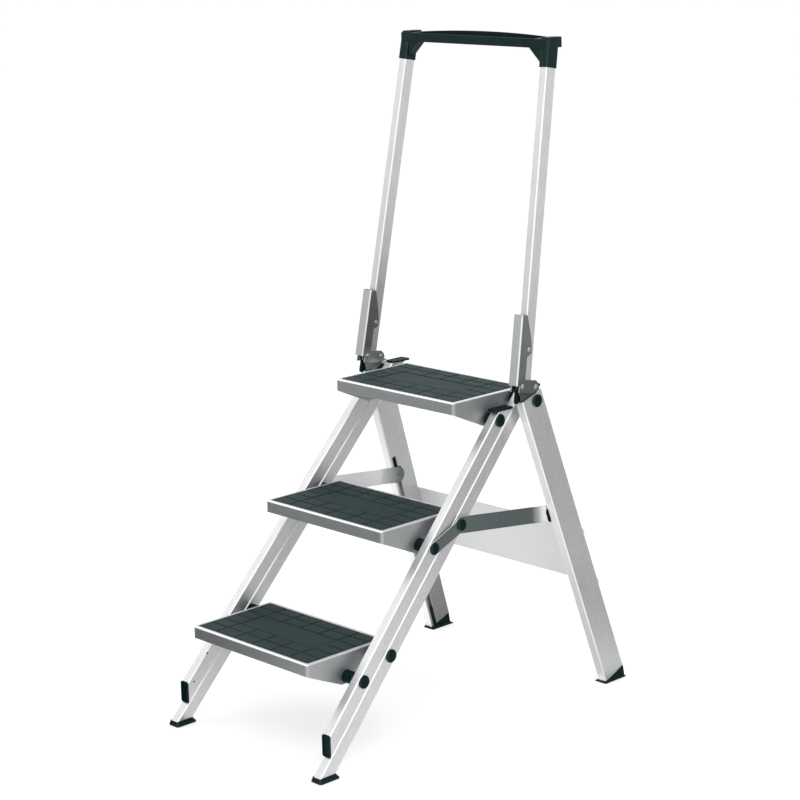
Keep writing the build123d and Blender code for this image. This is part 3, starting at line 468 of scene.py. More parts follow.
# the left bracket as a painted lit copy, its lower part paler
litEarSteel = {**earSteel, "endColour": (0.42, 0.43, 0.43)}
legTube = {
    **aluminium,
    "dark": (0.60, 0.605, 0.61),
    "light": (0.74, 0.745, 0.75),
    # painted highlight on the legs' front-facing faces
    "facingHighlight": 0.8,
    "rimAxis": "Y",
    "rimFrom": (-0.6, -0.9),
}
coatedSteel = {
    **steel,
    "dark": (0.150, 0.180, 0.180),
    "light": (0.185, 0.220, 0.220),
    "draw": 0.1,
    # painted highlight on the strut's bent end by the leg, where it turns to the light
    "endFrom": (0.191, 0.221),
    "endColour": (0.95, 0.95, 0.95),
    "cornerHighlight": 0.5,
}
# painted lit copy of the strut coat for the inner faces, with painted shade at the rounded end
strutLitSheet = {
    **aluminium,
    "dark": (0.84, 0.845, 0.85),
    "light": (0.95, 0.95, 0.95),
    "endFrom": (0.18, 0.255),
    "endColour": (0.17, 0.205, 0.205),
}
zinc = {**aluminium, "dark": (0.40, 0.405, 0.41), "light": (0.52, 0.525, 0.53), "rough": (0.3, 0.4)}
# degrees that turn each run upright, so that the grain follows it
alongRail, alongLeg, alongHand = (42.84, 0, 0), (-18.3, 0, 0), (10.0, 0, 0)
alongX, alongY = (0, 90, 0), (90, 0, 0)
railMetal = brushedMetal("railAluminium", aluminium, alongRail)
legMetal = brushedMetal("legAluminium", legTube, alongLeg)
handMetal = brushedMetal("handrailAluminium", aluminium, alongHand)
panMetal = brushedMetal("stepSheet", panSheet, alongX)
panelMetal = brushedMetal("panelSheet", panelSheet, alongX)
bracketMetal = brushedMetal("bracketSteel", earSteel, alongHand)
litBracketMetal = brushedMetal("bracketLit", litEarSteel, alongHand)
shadedPlateMetal = brushedMetal("shadedPlateSteel", shadedPlateSteel, alongHand)
litPlateMetal = brushedMetal("litPlateSteel", litPlateSteel, alongHand)
strutMetal = brushedMetal("strutCoat", coatedSteel, alongY)
strutLitFaces = brushedMetal("strutLitSide", strutLitSheet, alongY)
pinMetal = brushedMetal("pinZinc", zinc, alongX)

plastic = {
    "fineness": 1400.0,  # pits per metre, about
    "dark": (0.0012, 0.0140, 0.0138),
    "light": (0.0032, 0.0195, 0.0195),
    # pale line painted along the rounded corners as a highlight
    "corner": (0.045, 0.062, 0.064),
    "cornerHighlight": 0.7,
    "rough": (0.42, 0.55),
    "gloss": 0.13,
    "bump": 0.15,
    "bumpDepth": 0.0002,
    "dust": 0.0,
}
rubber = {
    **plastic,
    "rough": (0.6, 0.75),
    "dust": 0.12,
    "dustReach": 0.012,
    "dustColour": (0.2, 0.2, 0.19),
}
matLook = {
    **plastic,
    "fineness": 900.0,
    "dark": (0.012, 0.029, 0.0305),
    "light": (0.025, 0.046, 0.048),
    "cornerHighlight": 0.0,
    "rough": (0.52, 0.68),
    "gloss": 0.15,
    "bump": 0.3,
}
capLook = {**plastic, "dark": (0.0004, 0.0105, 0.0108), "light": (0.0012, 0.0145, 0.015), "gloss": 0.07}
# pale finish for the legs' hollows, painted light where their insides lie in shade
paleInside = {
    **plastic,
    "dark": (0.72, 0.72, 0.73),
    "light": (0.84, 0.84, 0.85),
    "cornerHighlight": 0.0,
    "gloss": 0.3,
}
capPlastic = mouldedPlastic("capPlastic", capLook)
handlePlastic = mouldedPlastic("handlePlastic", {**plastic, "rough": (0.36, 0.5)})
footRubber = mouldedPlastic("footRubber", rubber)
matRubber = mouldedPlastic("matRubber", matLook)
legInside = mouldedPlastic("legInside", paleInside)
print("finishes made")

# modelling helpers
weld = 1e-6  # points closer than this are one point
slack = 1e-5  # how far off a face or end a point may be
flatAngle = 0.3  # degrees between faces that are one flat face


def activate(piece):
    deselect()
    piece.select_set(True)
    bpy.context.view_layer.objects.active = piece


def edit(piece):
    activate(piece)
    bpy.ops.object.mode_set(mode="EDIT")
    bpy.ops.mesh.select_all(action="DESELECT")


def leave():
    bpy.ops.object.mode_set(mode="OBJECT")


def pick(kind, test):
    # selects verts, edges or faces of the piece in edit mode
    bpy.ops.mesh.select_mode(type={"verts": "VERT", "edges": "EDGE", "faces": "FACE"}[kind])
    bpy.ops.mesh.select_all(action="DESELECT")
    data = bpy.context.edit_object.data
    mesh = bmesh.from_edit_mesh(data)
    for part in [part for part in getattr(mesh, kind) if test(part)]:
        part.select_set(True)
    mesh.select_flush_mode()
    bmesh.update_edit_mesh(data)


def middle(edge):
    return (edge.verts[0].co + edge.verts[1].co) / 2


def runs(edge, axis):
    # true for an edge that runs along axis 0, 1 or 2
    step = edge.verts[1].co - edge.verts[0].co
    return abs(step[axis]) > 0.98 * step.length


def roundEdges(test, width, segments):
    pick("edges", test)
    bpy.ops.mesh.bevel(offset=width, segments=segments, affect="EDGES")


def extrude(x, y, z):
    bpy.ops.mesh.extrude_region_move(TRANSFORM_OT_translate={"value": (x, y, z)})


def applyPlace(piece):
    activate(piece)
    bpy.ops.object.transform_apply(location=True, rotation=True, scale=True)


def placedIn(piece, matrix):
    piece.matrix_world = matrix
    applyPlace(piece)
    return piece


def outward(piece):
    edit(piece)
    bpy.ops.mesh.select_all(action="SELECT")
    bpy.ops.mesh.remove_doubles(threshold=weld)
    bpy.ops.mesh.normals_make_consistent(inside=False)
    leave()


def addBox(name, low, high):
    deselect()
    bpy.ops.mesh.primitive_cube_add(size=1)
    piece = bpy.context.object
    piece.name = name
    piece.location = [(a + b) / 2 for a, b in zip(low, high)]
    piece.scale = [b - a for a, b in zip(low, high)]
    applyPlace(piece)
    return piece


def addTurned(name, profile, foot=(0, 0, 0), axis=(1, 0, 0), steps=36, ring=False):
    # spins a line of (radius, height) points about an axis
    foot, axis = Vector(foot), Vector(axis).normalized()
    side = axis.orthogonal().normalized()
    points = [foot + axis * h + side * r for r, h in profile]
    deselect()
    bpy.ops.mesh.primitive_plane_add(size=0.001)
    piece = bpy.context.object
    piece.name = name
    bpy.ops.object.mode_set(mode="EDIT")
    bpy.ops.mesh.select_mode(type="VERT")
    bpy.ops.mesh.select_all(action="SELECT")
    bpy.ops.mesh.merge(type="CENTER")
    bpy.ops.transform.translate(value=points[0])
    for here, there in zip(points, points[1:]):
        bpy.ops.mesh.extrude_vertices_move(TRANSFORM_OT_translate={"value": there - here})
    if ring:
        ends = (points[0], points[-1])
        pick("verts", lambda v: any((v.co - p).length < weld for p in ends))
        bpy.ops.mesh.edge_face_add()
    bpy.ops.mesh.select_all(action="SELECT")
    bpy.ops.mesh.spin(steps=steps, angle=2 * math.pi, center=foot, axis=axis)
    leave()
    outward(piece)
    return piece


def scaled(shares, radius, high):
    # a profile from shares of a radius and a height
    return [(radius * r, high * h) for r, h in shares]


def copied(piece, name, move=(0, 0, 0), flip=False):
    activate(piece)
    bpy.ops.object.duplicate()
    twin = bpy.context.object
    twin.name = name
    twin.location = move
    if flip:
        twin.scale = (-1, 1, 1)
    applyPlace(twin)
    if flip:
        outward(twin)
    return twin


def joined(name, pieces):
    activate(pieces[0])
    for piece in pieces:
        piece.select_set(True)
    if len(pieces) > 1:
        bpy.ops.object.join()
    whole = bpy.context.object
    whole.name = name
    whole.data.name = name
    return whole


def mirrored(name, right):
    # a right-hand piece and its left-hand twin as one
    return joined(name, [right, copied(right, "twin", flip=True)])


def dropped(piece):
    bpy.data.objects.remove(piece)


def bevelled(piece, width, segments=2, angle=38):
    activate(piece)
    edge = piece.modifiers.new("edge", "BEVEL")
    edge.width = width
    edge.segments = segments
    edge.limit_method = "ANGLE"
    edge.angle_limit = math.radians(angle)
    bpy.ops.object.modifier_apply(modifier=edge.name)
    return piece


def copyNode(nodeName, name):
    # a merged copy of a CAD node, with its flat faces made whole
    data = nodes[nodeName].data.copy()
    data.name = name
    piece = bpy.data.objects.new(name, data)
    scene.collection.objects.link(piece)
    activate(piece)
    bpy.ops.mesh.customdata_custom_splitnormals_clear()
    edit(piece)
    bpy.ops.mesh.select_all(action="SELECT")
    bpy.ops.mesh.remove_doubles(threshold=weld)
    bpy.ops.mesh.dissolve_limited(angle_limit=math.radians(flatAngle))
    leave()
    return piece


def nodeBox(nodeName):
    return [Vector(corner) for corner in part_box(nodeName)]


def islands(nodeName):
    # the box of each separate solid in a CAD node
    mesh = bmesh.new()
    mesh.from_mesh(nodes[nodeName].data)
    bmesh.ops.remove_doubles(mesh, verts=mesh.verts, dist=weld)
    left = set(mesh.verts)
    found = []
    while left:
        front = [left.pop()]
        group = list(front)
        while front:
            here = front.pop()
            for edge in here.link_edges:
                other = edge.other_vert(here)
                if other in left:
                    left.remove(other)
                    front.append(other)
                    group.append(other)
        low = Vector([min(v.co[i] for v in group) for i in range(3)])
        high = Vector([max(v.co[i] for v in group) for i in range(3)])
        found.append((low, high))
    mesh.free()
    return sorted(found, key=lambda box: (round(box[0].x, 5), round(box[0].y, 5)))


def rightBox(nodeName):
    return next(box for box in islands(nodeName) if box[0].x > 0)


def finishPiece(piece, material, body, replaced=(), smooth=40):
    activate(piece)
    bpy.ops.object.shade_smooth_by_angle(angle=math.radians(smooth))
    # wide faces stay flat beside their rounded edges
    flat = piece.modifiers.new("flat", "WEIGHTED_NORMAL")
    flat.keep_sharp = True
    bpy.ops.object.modifier_apply(modifier=flat.name)
    piece.data.materials.clear()
    piece.data.materials.append(material)
    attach(piece, body)
    if replaced:
        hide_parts(*replaced)


def finishSides(right, label, finishes, body, stem, smooth):
    # a piece for each side, the left one a mirrored copy
    left = copied(right, "left" + label, flip=True)
    right.name = "right" + label
    finishPiece(right, finishes[0], body, [stem + "_right"], smooth)
    finishPiece(left, finishes[1], body, [stem + "_left"], smooth)


def setInside(piece, material, test):
    # a second finish on the faces that pass the test
    piece.data.materials.append(material)
    for face in piece.data.polygons:
        if test(face):
            face.material_index = 1


steps = ("lower", "middle", "top")

# rubber mats: raised tiles round a plain middle panel
mat = {
    "columns": 6,
    "rows": 6,
    "panelColumns": 4,
    "panelRows": 2,
    "groove": 0.0032,
    "tileHeight": 0.0014,
    "tileRound": 0.0007,
    "panelDrop": 0.0006,
    "corner": 0.003,
}


def makeMat(step):
    low, high = nodeBox(step + "_step_mat")
    size, centre = high - low, (low + high) / 2
    base = high.z - mat["tileHeight"]
    halfX = size.x / mat["columns"] * mat["panelColumns"] / 2
    halfY = size.y / mat["rows"] * mat["panelRows"] / 2
    deselect()
    bpy.ops.mesh.primitive_grid_add(x_subdivisions=mat["columns"], y_subdivisions=mat["rows"], size=1)
    piece = bpy.context.object
    piece.name = step + "Mat"
    piece.location = (centre.x, centre.y, base)
    piece.scale = (size.x, size.y, 1)
    applyPlace(piece)

    def inPanel(face):
        off = face.calc_center_median() - centre
        return abs(off.x) < halfX and abs(off.y) < halfY

    def panelTop(face):
        return face.normal.z > 0.9 and face.calc_center_median().z > high.z - slack and inPanel(face)

    edit(piece)
    pick("faces", inPanel)
    bpy.ops.mesh.dissolve_faces()
    bpy.ops.mesh.select_all(action="SELECT")
    bpy.ops.mesh.inset(thickness=mat["groove"] / 2, depth=0, use_individual=True)
    extrude(0, 0, mat["tileHeight"])
    pick("faces", panelTop)
    bpy.ops.transform.translate(value=(0, 0, -mat["panelDrop"]))
    roundEdges(lambda e: all(v.co.z > base + slack for v in e.verts), mat["tileRound"], 2)
    pick("edges", lambda e: e.is_boundary)
    extrude(0, 0, low.z - base)
    pick("edges", lambda e: e.is_boundary)
    bpy.ops.mesh.edge_face_add()
    corner = size.xy / 2 * 0.999  # a hair inside the corners

    def atCorner(edge):
        off = middle(edge) - centre
        return runs(edge, 2) and abs(off.x) > corner.x and abs(off.y) > corner.y

    roundEdges(atCorner, mat["corner"], 4)
    leave()
    outward(piece)
    finishPiece(piece, matRubber, step + "_step", [step + "_step_mat"], smooth=30)


for step in steps:
    makeMat(step)
print("mats made")

# sheet parts and bolts: CAD copies with rounded edges, the last value their width
sheets = {
    "lowerPan": ("lower_step_pan", "lower_step", "step_aluminium", panMetal, 0.0005),
    "middlePan": ("middle_step_pan", "middle_step", "step_aluminium", panMetal, 0.0005),
    "topPan": ("top_step_pan", "top_step", "step_aluminium", panMetal, 0.0005),
    "rightStrut": ("strut_right", "middle_step", "strut_steel", strutMetal, 0.0005),
    "leftStrut": ("strut_left", "middle_step", "strut_steel", strutMetal, 0.0005),
    "rearPanel": ("rear_panel", "rear_legs", "panel_aluminium", panelMetal, 0.0004),
    "rightLegBracket": ("leg_bracket_right", "rear_legs", "bracket_steel", shadedPlateMetal, 0.0008),
    "leftLegBracket": ("leg_bracket_left", "rear_legs", "bracket_steel", litPlateMetal, 0.0008),
    "lowerBolts": ("lower_step_bolts", "lower_step", "pin_steel", pinMetal, 0.0005),
    "middleBolts": ("middle_step_bolts", "middle_step", "pin_steel", pinMetal, 0.0005),
    "topBolts": ("top_step_bolts", "top_step", "pin_steel", pinMetal, 0.0005),
    "legBolts": ("leg_bolts", "rear_rails", "pin_steel", pinMetal, 0.0005),
}
panRim = {"corner": 0.007, "sharp": 0.001, "soft": 0.0036}


def softenRim(piece, nodeName):
    # opens out the small round on a pan's outer rim, column by column
    low, high = nodeBox(nodeName)
    corner, sharp = panRim["corner"], panRim["sharp"]
    rimLow = high.z - 1.02 * sharp  # a hair under the round
    rimInner = corner - 1.05 * sharp  # and a hair inside it

    def rimFoot(spot):
        # the nearest point of the pan's outline, at the height of the rim
        x = min(max(spot.x, low.x + corner), high.x - corner)
        y = min(max(spot.y, low.y + corner), high.y - corner)
        off = Vector((spot.x - x, spot.y - y, 0))
        if spot.z < rimLow or off.length < rimInner:
            return None
        return Vector((x, y, high.z)) + off.normalized() * corner

    def near(vert, foot):
        here = rimFoot(vert.co)
        return here is not None and (here - foot).length < 2 * slack

    feet = {}
    for vert in piece.data.vertices:
        foot = rimFoot(vert.co)
        if foot is not None:
            feet[tuple(round(c, 4) for c in foot)] = foot
    edit(piece)
    grow = panRim["soft"] / sharp
    for foot in feet.values():
        pick("verts", lambda v: near(v, foot))
        bpy.ops.transform.resize(value=(grow, grow, grow), center_override=foot)
    leave()


def facesMiddle(face):
    outside = 0.05  # a face that turns outward by more keeps the coat; the rest get the painted lit copy
    return face.normal.x * face.center.x < outside * abs(face.center.x)


for name, (nodeName, body, slotName, material, width) in sheets.items():
    piece = copyNode(nodeName, name)
    if slotName == "step_aluminium":
        softenRim(piece, nodeName)
    bevelled(piece, width)
    finishPiece(piece, material, body, [nodeName], smooth=30)
    if slotName == "strut_steel":
        setInside(piece, strutLitFaces, facesMiddle)
print("sheet parts made")

# round caps over the pivots
boltCap = {
    "wide": 0.0138,
    "narrow": 0.0126,
    "height": 0.003,
    "foot": 0.0004,
    "side": 0.4,  # straight share of the height
    "dome": ((0.965, 0.60), (0.88, 0.76), (0.72, 0.90), (0.45, 0.97), (0.2, 0.995), (0, 1.0)),
}
capRows = {
    "lowerCaps": ("lower_step_bolt_caps", "lower_step", "wide"),
    "middleCaps": ("middle_step_bolt_caps", "middle_step", "narrow"),
    "topCaps": ("top_step_bolt_caps", "top_step", "wide"),
    "legCaps": ("leg_bolt_caps", "rear_rails", "wide"),
}


def makeCap(radius):
    high, foot = boltCap["height"], boltCap["foot"]
    rim = [(0, 0), (radius - foot, 0), (radius, foot), (radius, boltCap["side"] * high)]
    return addTurned("capModel", rim + scaled(boltCap["dome"], radius, high))


def placeTurned(models, boxes):
    # a copy of each model in its box, foot towards the middle of the stool
    copies = []
    for model, (low, high) in zip(models, boxes):
        centre = (low + high) / 2
        right = centre.x > 0
        spot = (low.x if right else high.x, centre.y, centre.z)
        copies.append(copied(model, "copy", spot, flip=not right))
    return copies


capModels = {size: makeCap(boltCap[size]) for size in ("wide", "narrow")}
for name, (nodeName, body, size) in capRows.items():
    spots = islands(nodeName)
    piece = joined(name, placeTurned([capModels[size]] * len(spots), spots))
    finishPiece(piece, capPlastic, body, [nodeName])
for model in capModels.values():
    dropped(model)

# spacers between the steps, rails and legs
spacer = {"edge": 0.0007, "groove": 0.0005, "grooveHalf": 0.0007, "bore": 0.0041, "grooveFrom": 0.006}
spacerRows = {
    "lowerSpacers": ("lower_step_spacers", "lower_step"),
    "middleSpacers": ("middle_step_spacers", "middle_step"),
    "topSpacers": ("top_step_spacers", "top_step"),
    "strutBushes": ("strut_bushes", "middle_step"),
    "legSpacers": ("leg_bolt_spacers", "rear_rails"),
}
spacerModels = {}


def makeSpacer(long, radius):
    edge, bore, half = spacer["edge"], spacer["bore"], spacer["grooveHalf"]
    line = [(bore, 0), (radius - edge, 0), (radius, edge)]
    if long > spacer["grooveFrom"]:
        line += [(radius, long / 2 - half), (radius - spacer["groove"], long / 2)]
        line += [(radius, long / 2 + half)]
    line += [(radius, long - edge), (radius - edge, long), (bore, long)]
    return addTurned("spacerModel", line, ring=True)


def spacerFor(low, high):
    # each size is modelled once
    long, radius = high.x - low.x, (high.y - low.y) / 2
    size = (round(long, 5), round(radius, 5))
    if size not in spacerModels:
        spacerModels[size] = makeSpacer(long, radius)
    return spacerModels[size]


for name, (nodeName, body) in spacerRows.items():
    spots = islands(nodeName)
    piece = joined(name, placeTurned([spacerFor(*spot) for spot in spots], spots))
    finishPiece(piece, capPlastic, body, [nodeName])
for model in spacerModels.values():
    dropped(model)
print("caps and spacers made")

# slide plates between the struts and the legs
slide = {
    "half": 0.0160,
    "halfLong": 0.0172,
    "corner": 0.008,
    "thick": 0.0008,
    "edge": 0.0002,
    "gap": 0.00005,  # from the strut
    "lean": 18.3,
}


def makeSlide():
    face = nodeBox("strut_right")[1].x + slide["gap"]
    pinLow, pinHigh = rightBox("strut_pins")
    pin = (pinLow + pinHigh) / 2
    half, long = slide["half"], slide["halfLong"]
    piece = addBox("slide", (0, -half, -long), (slide["thick"], half, long))
    edit(piece)
    roundEdges(lambda e: runs(e, 0), slide["corner"], 6)
    leave()
    bevelled(piece, slide["edge"], 2, 50)
    piece.rotation_euler = (math.radians(slide["lean"]), 0, 0)
    piece.location = (face, pin.y, pin.z)
    applyPlace(piece)
    return piece


finishPiece(mirrored("slidePlates", makeSlide()), capPlastic, "middle_step")
print("slide plates made")

# flat caps on the rail tops
railCap = {"corner": 0.004, "round": 0.0012, "under": 0.0005, "dishIn": 0.004, "dish": 0.0005}
railCapRows = {
    "rearRailCaps": ("rear_rail_caps", "rear_rails"),
    "frontRailCaps": ("front_rail_caps", "front_rails"),
}


def makeRailCap(low, high):
    piece = addBox("railCap", low, high)
    edit(piece)
    roundEdges(lambda e: runs(e, 2), railCap["corner"], 5)
    roundEdges(lambda e: all(v.co.z > high.z - slack for v in e.verts), railCap["round"], 3)
    roundEdges(lambda e: all(v.co.z < low.z + slack for v in e.verts), railCap["under"], 1)
    pick("faces", lambda f: f.normal.z > 0.999)
    bpy.ops.mesh.inset(thickness=railCap["dishIn"], depth=0)
    bpy.ops.transform.translate(value=(0, 0, -railCap["dish"]))
    leave()
    return piece


for name, (nodeName, body) in railCapRows.items():
    piece = mirrored(name, makeRailCap(*rightBox(nodeName)))
    finishPiece(piece, capPlastic, body, [nodeName])

# upright caps on the lower ends of the front rails
endCap = {
    "wide": 0.023,
    "thick": 0.0035,
    "tall": 0.0466,
    "corner": 0.0045,
    "round": 0.0009,
    "dishIn": 0.0024,
    "dish": 0.0016,
}


def makeEndCap():
    low, high = nodeBox("front_rail_end_caps")
    face = low.y
    high = Vector((high.x, face + endCap["thick"], low.z + endCap["tall"]))
    low = Vector((high.x - endCap["wide"], face, low.z))
    piece = addBox("endCap", low, high)
    edit(piece)
    roundEdges(lambda e: runs(e, 1), endCap["corner"], 5)
    roundEdges(lambda e: all(v.co.y < face + slack for v in e.verts), endCap["round"], 3)
    pick("faces", lambda f: f.normal.y < -0.999)
    bpy.ops.mesh.inset(thickness=endCap["dishIn"], depth=0)
    extrude(0, endCap["dish"], 0)
    leave()
    return piece


piece = mirrored("endCaps", makeEndCap())
finishPiece(piece, capPlastic, "front_rails", ["front_rail_end_caps"])
print("rail caps made")

# front feet: a flared sole with a lip round the rail
frontFoot = {
    "sole": 0.0032,
    "corner": 0.0045,
    "flare": 0.001,
    "heel": -0.3865,
    "top": 0.010,
    "railHalf": (0.011, 0.0212),
    "railMiddle": -0.41495,
    "lip": 0.0012,
    "lipTop": 0.0009,
    "lipHeight": 0.0013,
    "soleIn": 0.003,
    "soleDeep": 0.0008,
    "edge": 0.0004,
}


def makeFrontFoot():
    look = frontFoot
    low, high = nodeBox("front_foot_right")
    low.x, high.x = low.x - look["flare"], high.x + look["flare"]
    high.y, high.z = look["heel"], look["sole"]
    centre, half = (low + high) / 2, (high - low) / 2
    piece = addBox("frontFoot", low, high)
    edit(piece)
    roundEdges(lambda e: runs(e, 2), look["corner"], 5)
    pick("faces", lambda f: f.normal.z > 0.99)
    extrude(0, 0, look["top"] - look["sole"])
    growX, growY = ((look["railHalf"][i] + look["lip"]) / half[i] for i in (0, 1))
    bpy.ops.transform.resize(value=(growX, growY, 1), center_override=(centre.x, centre.y, look["top"]))
    bpy.ops.transform.translate(value=(0, look["railMiddle"] - centre.y, 0))
    bpy.ops.mesh.inset(thickness=look["lipTop"], depth=0)
    pick("faces", lambda f: f.normal.z > 0.99 and len(f.verts) == 4)
    extrude(0, 0, look["lipHeight"])
    pick("faces", lambda f: f.normal.z < -0.99)
    bpy.ops.mesh.inset(thickness=look["soleIn"], depth=0)
    extrude(0, 0, look["soleDeep"])
    leave()
    return bevelled(piece, look["edge"], 2, 30)


bothRubber = (footRubber, footRubber)
finishSides(makeFrontFoot(), "FrontFoot", bothRubber, "rear_rails", "front_foot", 35)

# rear legs: box section with a slot, the inside painted pale as light in its hollow, measured from the
# top pivot
leg = {
    "pivot": (0.23566, 0.19666, 0.6692),
    "lean": -18.3,
    "splay": 0.056,
    "half": 0.011,
    "middle": -0.0094,
    "halfDeep": 0.032,
    "wall": 0.0012,
    "edge": 0.0005,
    "slot": -0.0284,
    "slotHalf": 0.0053,
    "pin": -0.2625,
    "foot": -0.687,
    "inside": (-0.686, 0.015),  # from the foot's plug to the top
}


def tiltedFrame(spot):
    # across, back and up along a tube that leans and splays
    lean, splay = math.radians(spot["lean"]), spot["splay"]
    across = Vector((1, 0, splay)).normalized()
    up = Vector((-splay * math.cos(lean), math.sin(lean), math.cos(lean))).normalized()
    back = up.cross(across)
    return Matrix.Translation(spot["pivot"]) @ Matrix((across, back, up)).transposed().to_4x4()


legFrame = tiltedFrame(leg)


def inLeg(face):
    spot = legFrame.inverted() @ Vector((abs(face.center.x), face.center.y, face.center.z))
    within = abs(spot.x) < leg["half"] - leg["wall"]
    within = within and abs(spot.y - leg["middle"]) < leg["halfDeep"] - leg["wall"]
    return within and leg["inside"][0] < spot.z < leg["inside"][1]


for side in ("right", "left"):
    piece = bevelled(copyNode("rear_leg_" + side, side + "Leg"), leg["edge"], 2, 45)
    finishPiece(piece, legMetal, "rear_legs", ["rear_leg_" + side], smooth=30)
    setInside(piece, legInside, inLeg)

# black stops in the slots, above the strut pins
slotStop = {"from": 0.006, "to": 0.046, "deep": 0.006, "set": 0.0003, "corner": 0.0035, "edge": 0.0008}


def makeSlotStop():
    half, outer = leg["slotHalf"], -leg["half"] + slotStop["set"]
    low = (outer, leg["slot"] - half, leg["pin"] + slotStop["from"])
    high = (outer + slotStop["deep"], leg["slot"] + half, leg["pin"] + slotStop["to"])
    piece = addBox("slotStop", low, high)
    edit(piece)
    roundEdges(lambda e: runs(e, 0), slotStop["corner"], 4)
    roundEdges(lambda e: all(v.co.x < outer + slack for v in e.verts), slotStop["edge"], 2)
    leave()
    return placedIn(piece, legFrame)


finishPiece(mirrored("slotStops", makeSlotStop()), capPlastic, "rear_legs")

# strips that close the slots above the stops
slotStrip = {"deep": 0.0024, "top": 0.0145, "gap": 0.0006, "lap": 0.0001, "set": 0.00005, "edge": 0.0002}


def makeSlotStrip():
    half, inner = leg["slotHalf"] + slotStrip["lap"], -leg["half"] + slotStrip["set"]
    low = (inner, leg["slot"] - half, leg["pin"] + slotStop["to"] + slotStrip["gap"])
    high = (inner + slotStrip["deep"], leg["slot"] + half, slotStrip["top"])
    return placedIn(bevelled(addBox("slotStrip", low, high), slotStrip["edge"]), legFrame)


finishPiece(mirrored("slotStrips", makeSlotStrip()), legMetal, "rear_legs")

# rear feet: a wedge on a wider sole, with a tongue up the slot
rearFoot = {
    "sole": 0.0024,
    "corner": 0.0012,
    "inside": 0.005,
    "toe": 0.0035,
    "step": 0.0008,
    "insideStep": 0.0052,
    "insideReach": 0.005,
    "heelStep": 0.0030,
    "heelReach": 0.008,
    "rise": 0.0010,
    "slope": 22.4,
    "edge": 0.0005,
    "tongue": 0.048,
    "tongueDeep": 0.006,
    "tongueEdge": 0.0008,
}


def makeRearFoot():
    look = rearFoot
    low, high = nodeBox("rear_foot_right")
    high.z = look["sole"]
    low.x, low.y = low.x - look["inside"], low.y + look["toe"]
    piece = addBox("rearFoot", low, high)
    edit(piece)
    roundEdges(lambda e: runs(e, 2), look["corner"], 4)
    pick("faces", lambda f: f.normal.z > 0.99)
    bpy.ops.mesh.inset(thickness=look["step"], depth=0)
    ring = look["step"] / 2  # between the sole's edge and the inset points

    def innerHeel(vert):
        return vert.co.z > high.z - slack and high.y - look["heelReach"] < vert.co.y < high.y - ring

    def innerSide(vert):
        return vert.co.z > high.z - slack and low.x + ring < vert.co.x < low.x + look["insideReach"]

    pick("verts", innerHeel)
    bpy.ops.transform.translate(value=(0, -look["heelStep"], 0))
    pick("verts", innerSide)
    bpy.ops.transform.translate(value=(look["insideStep"], 0, 0))
    pick("faces", lambda f: f.normal.z > 0.99 and len(f.verts) > 4)
    extrude(0, 0, look["rise"])
    hinge = ((low.x + high.x) / 2, low.y + look["step"], high.z + look["rise"])
    slope = -math.radians(look["slope"])
    bpy.ops.transform.rotate(value=slope, orient_axis="X", center_override=hinge)
    leave()
    bevelled(piece, look["edge"], 2, 30)
    half, outer = leg["slotHalf"], -leg["half"] + slotStop["set"]
    tongueLow = (outer, leg["slot"] - half, leg["foot"])
    tongueHigh = (outer + look["tongueDeep"], leg["slot"] + half, leg["foot"] + look["tongue"])
    tongue = bevelled(addBox("tongue", tongueLow, tongueHigh), look["tongueEdge"])
    return joined("rearFoot", [piece, placedIn(tongue, legFrame)])


finishSides(makeRearFoot(), "RearFoot", bothRubber, "rear_legs", "rear_foot", 35)
print("feet and legs made")

# handrail: back and up from the hinge pin, along the tube
hand = {
    "pivot": (0.23472, 0.15116, 0.7075),
    "lean": 10.0,
    "splay": 0.041,
    "tubeHalf": 0.0102,
    "tubeDeep": 0.0295,
}
handFrame = tiltedFrame(hand)
handAcross, handUp = handFrame.to_3x3().col[0], handFrame.to_3x3().col[2]

# folded brackets on the handrail tubes
handBracket = {"halfOuter": 0.0128, "front": -0.0165, "reach": 0.0003, "fold": 0.0030, "edge": 0.0004}


def makeHandBracket():
    piece = copyNode("hand_bracket_right", "handBracket")
    look = handBracket

    def onFold(edge):
        spot = handFrame.inverted() @ middle(edge)
        run = (edge.verts[1].co - edge.verts[0].co).normalized()
        outside = abs(abs(spot.x) - look["halfOuter"]) < look["reach"]
        front = abs(spot.y - look["front"]) < look["reach"]
        return abs(run @ handUp) > 0.98 and outside and front

    edit(piece)
    roundEdges(onFold, look["fold"], 5)
    leave()
    return bevelled(piece, look["edge"], 2, 60)


# the right bracket painted shaded, the left one a painted lit copy
bothEars = (bracketMetal, litBracketMetal)
finishSides(makeHandBracket(), "HandBracket", bothEars, "handrail", "hand_bracket", 30)

# pins and rivets with a domed head at each end
pinHead = {"head": 0.0050, "dome": 0.0016, "shank": 0.0039}
clipRivet = {"back": 0.012, "up": 0.077, "half": 0.0128, "head": 0.0045, "dome": 0.0014, "shank": 0.0029}
headLine = ((0, 1.0), (0.5, 0.86), (0.82, 0.5), (1.0, 0))  # shares of the head's radius and height


def doubleHeaded(name, centre, axis, half, look):
    line = [(r, half + h) for r, h in scaled(headLine, look["head"], look["dome"])]
    line += [(look["shank"], half)]
    line += [(r, -h) for r, h in reversed(line)]
    return addTurned(name, line, centre, axis, steps=28)


def makePins(nodeName, name):
    low, high = rightBox(nodeName)
    half = (high.x - low.x) / 2 - pinHead["dome"]
    right = doubleHeaded("pin", (low + high) / 2, (1, 0, 0), half, pinHead)
    finishPiece(mirrored(name, right), pinMetal, "handrail", [nodeName])


def makeClipRivets():
    spot = handFrame @ Vector((0, clipRivet["back"], clipRivet["up"]))
    right = doubleHeaded("clipRivet", spot, handAcross, clipRivet["half"], clipRivet)
    piece = mirrored("clipRivets", right)
    finishPiece(piece, pinMetal, "handrail", ["hand_bracket_rivets"])


makePins("handrail_hinge_pins", "hingePins")
makePins("handrail_stop_pins", "stopPins")
makeClipRivets()

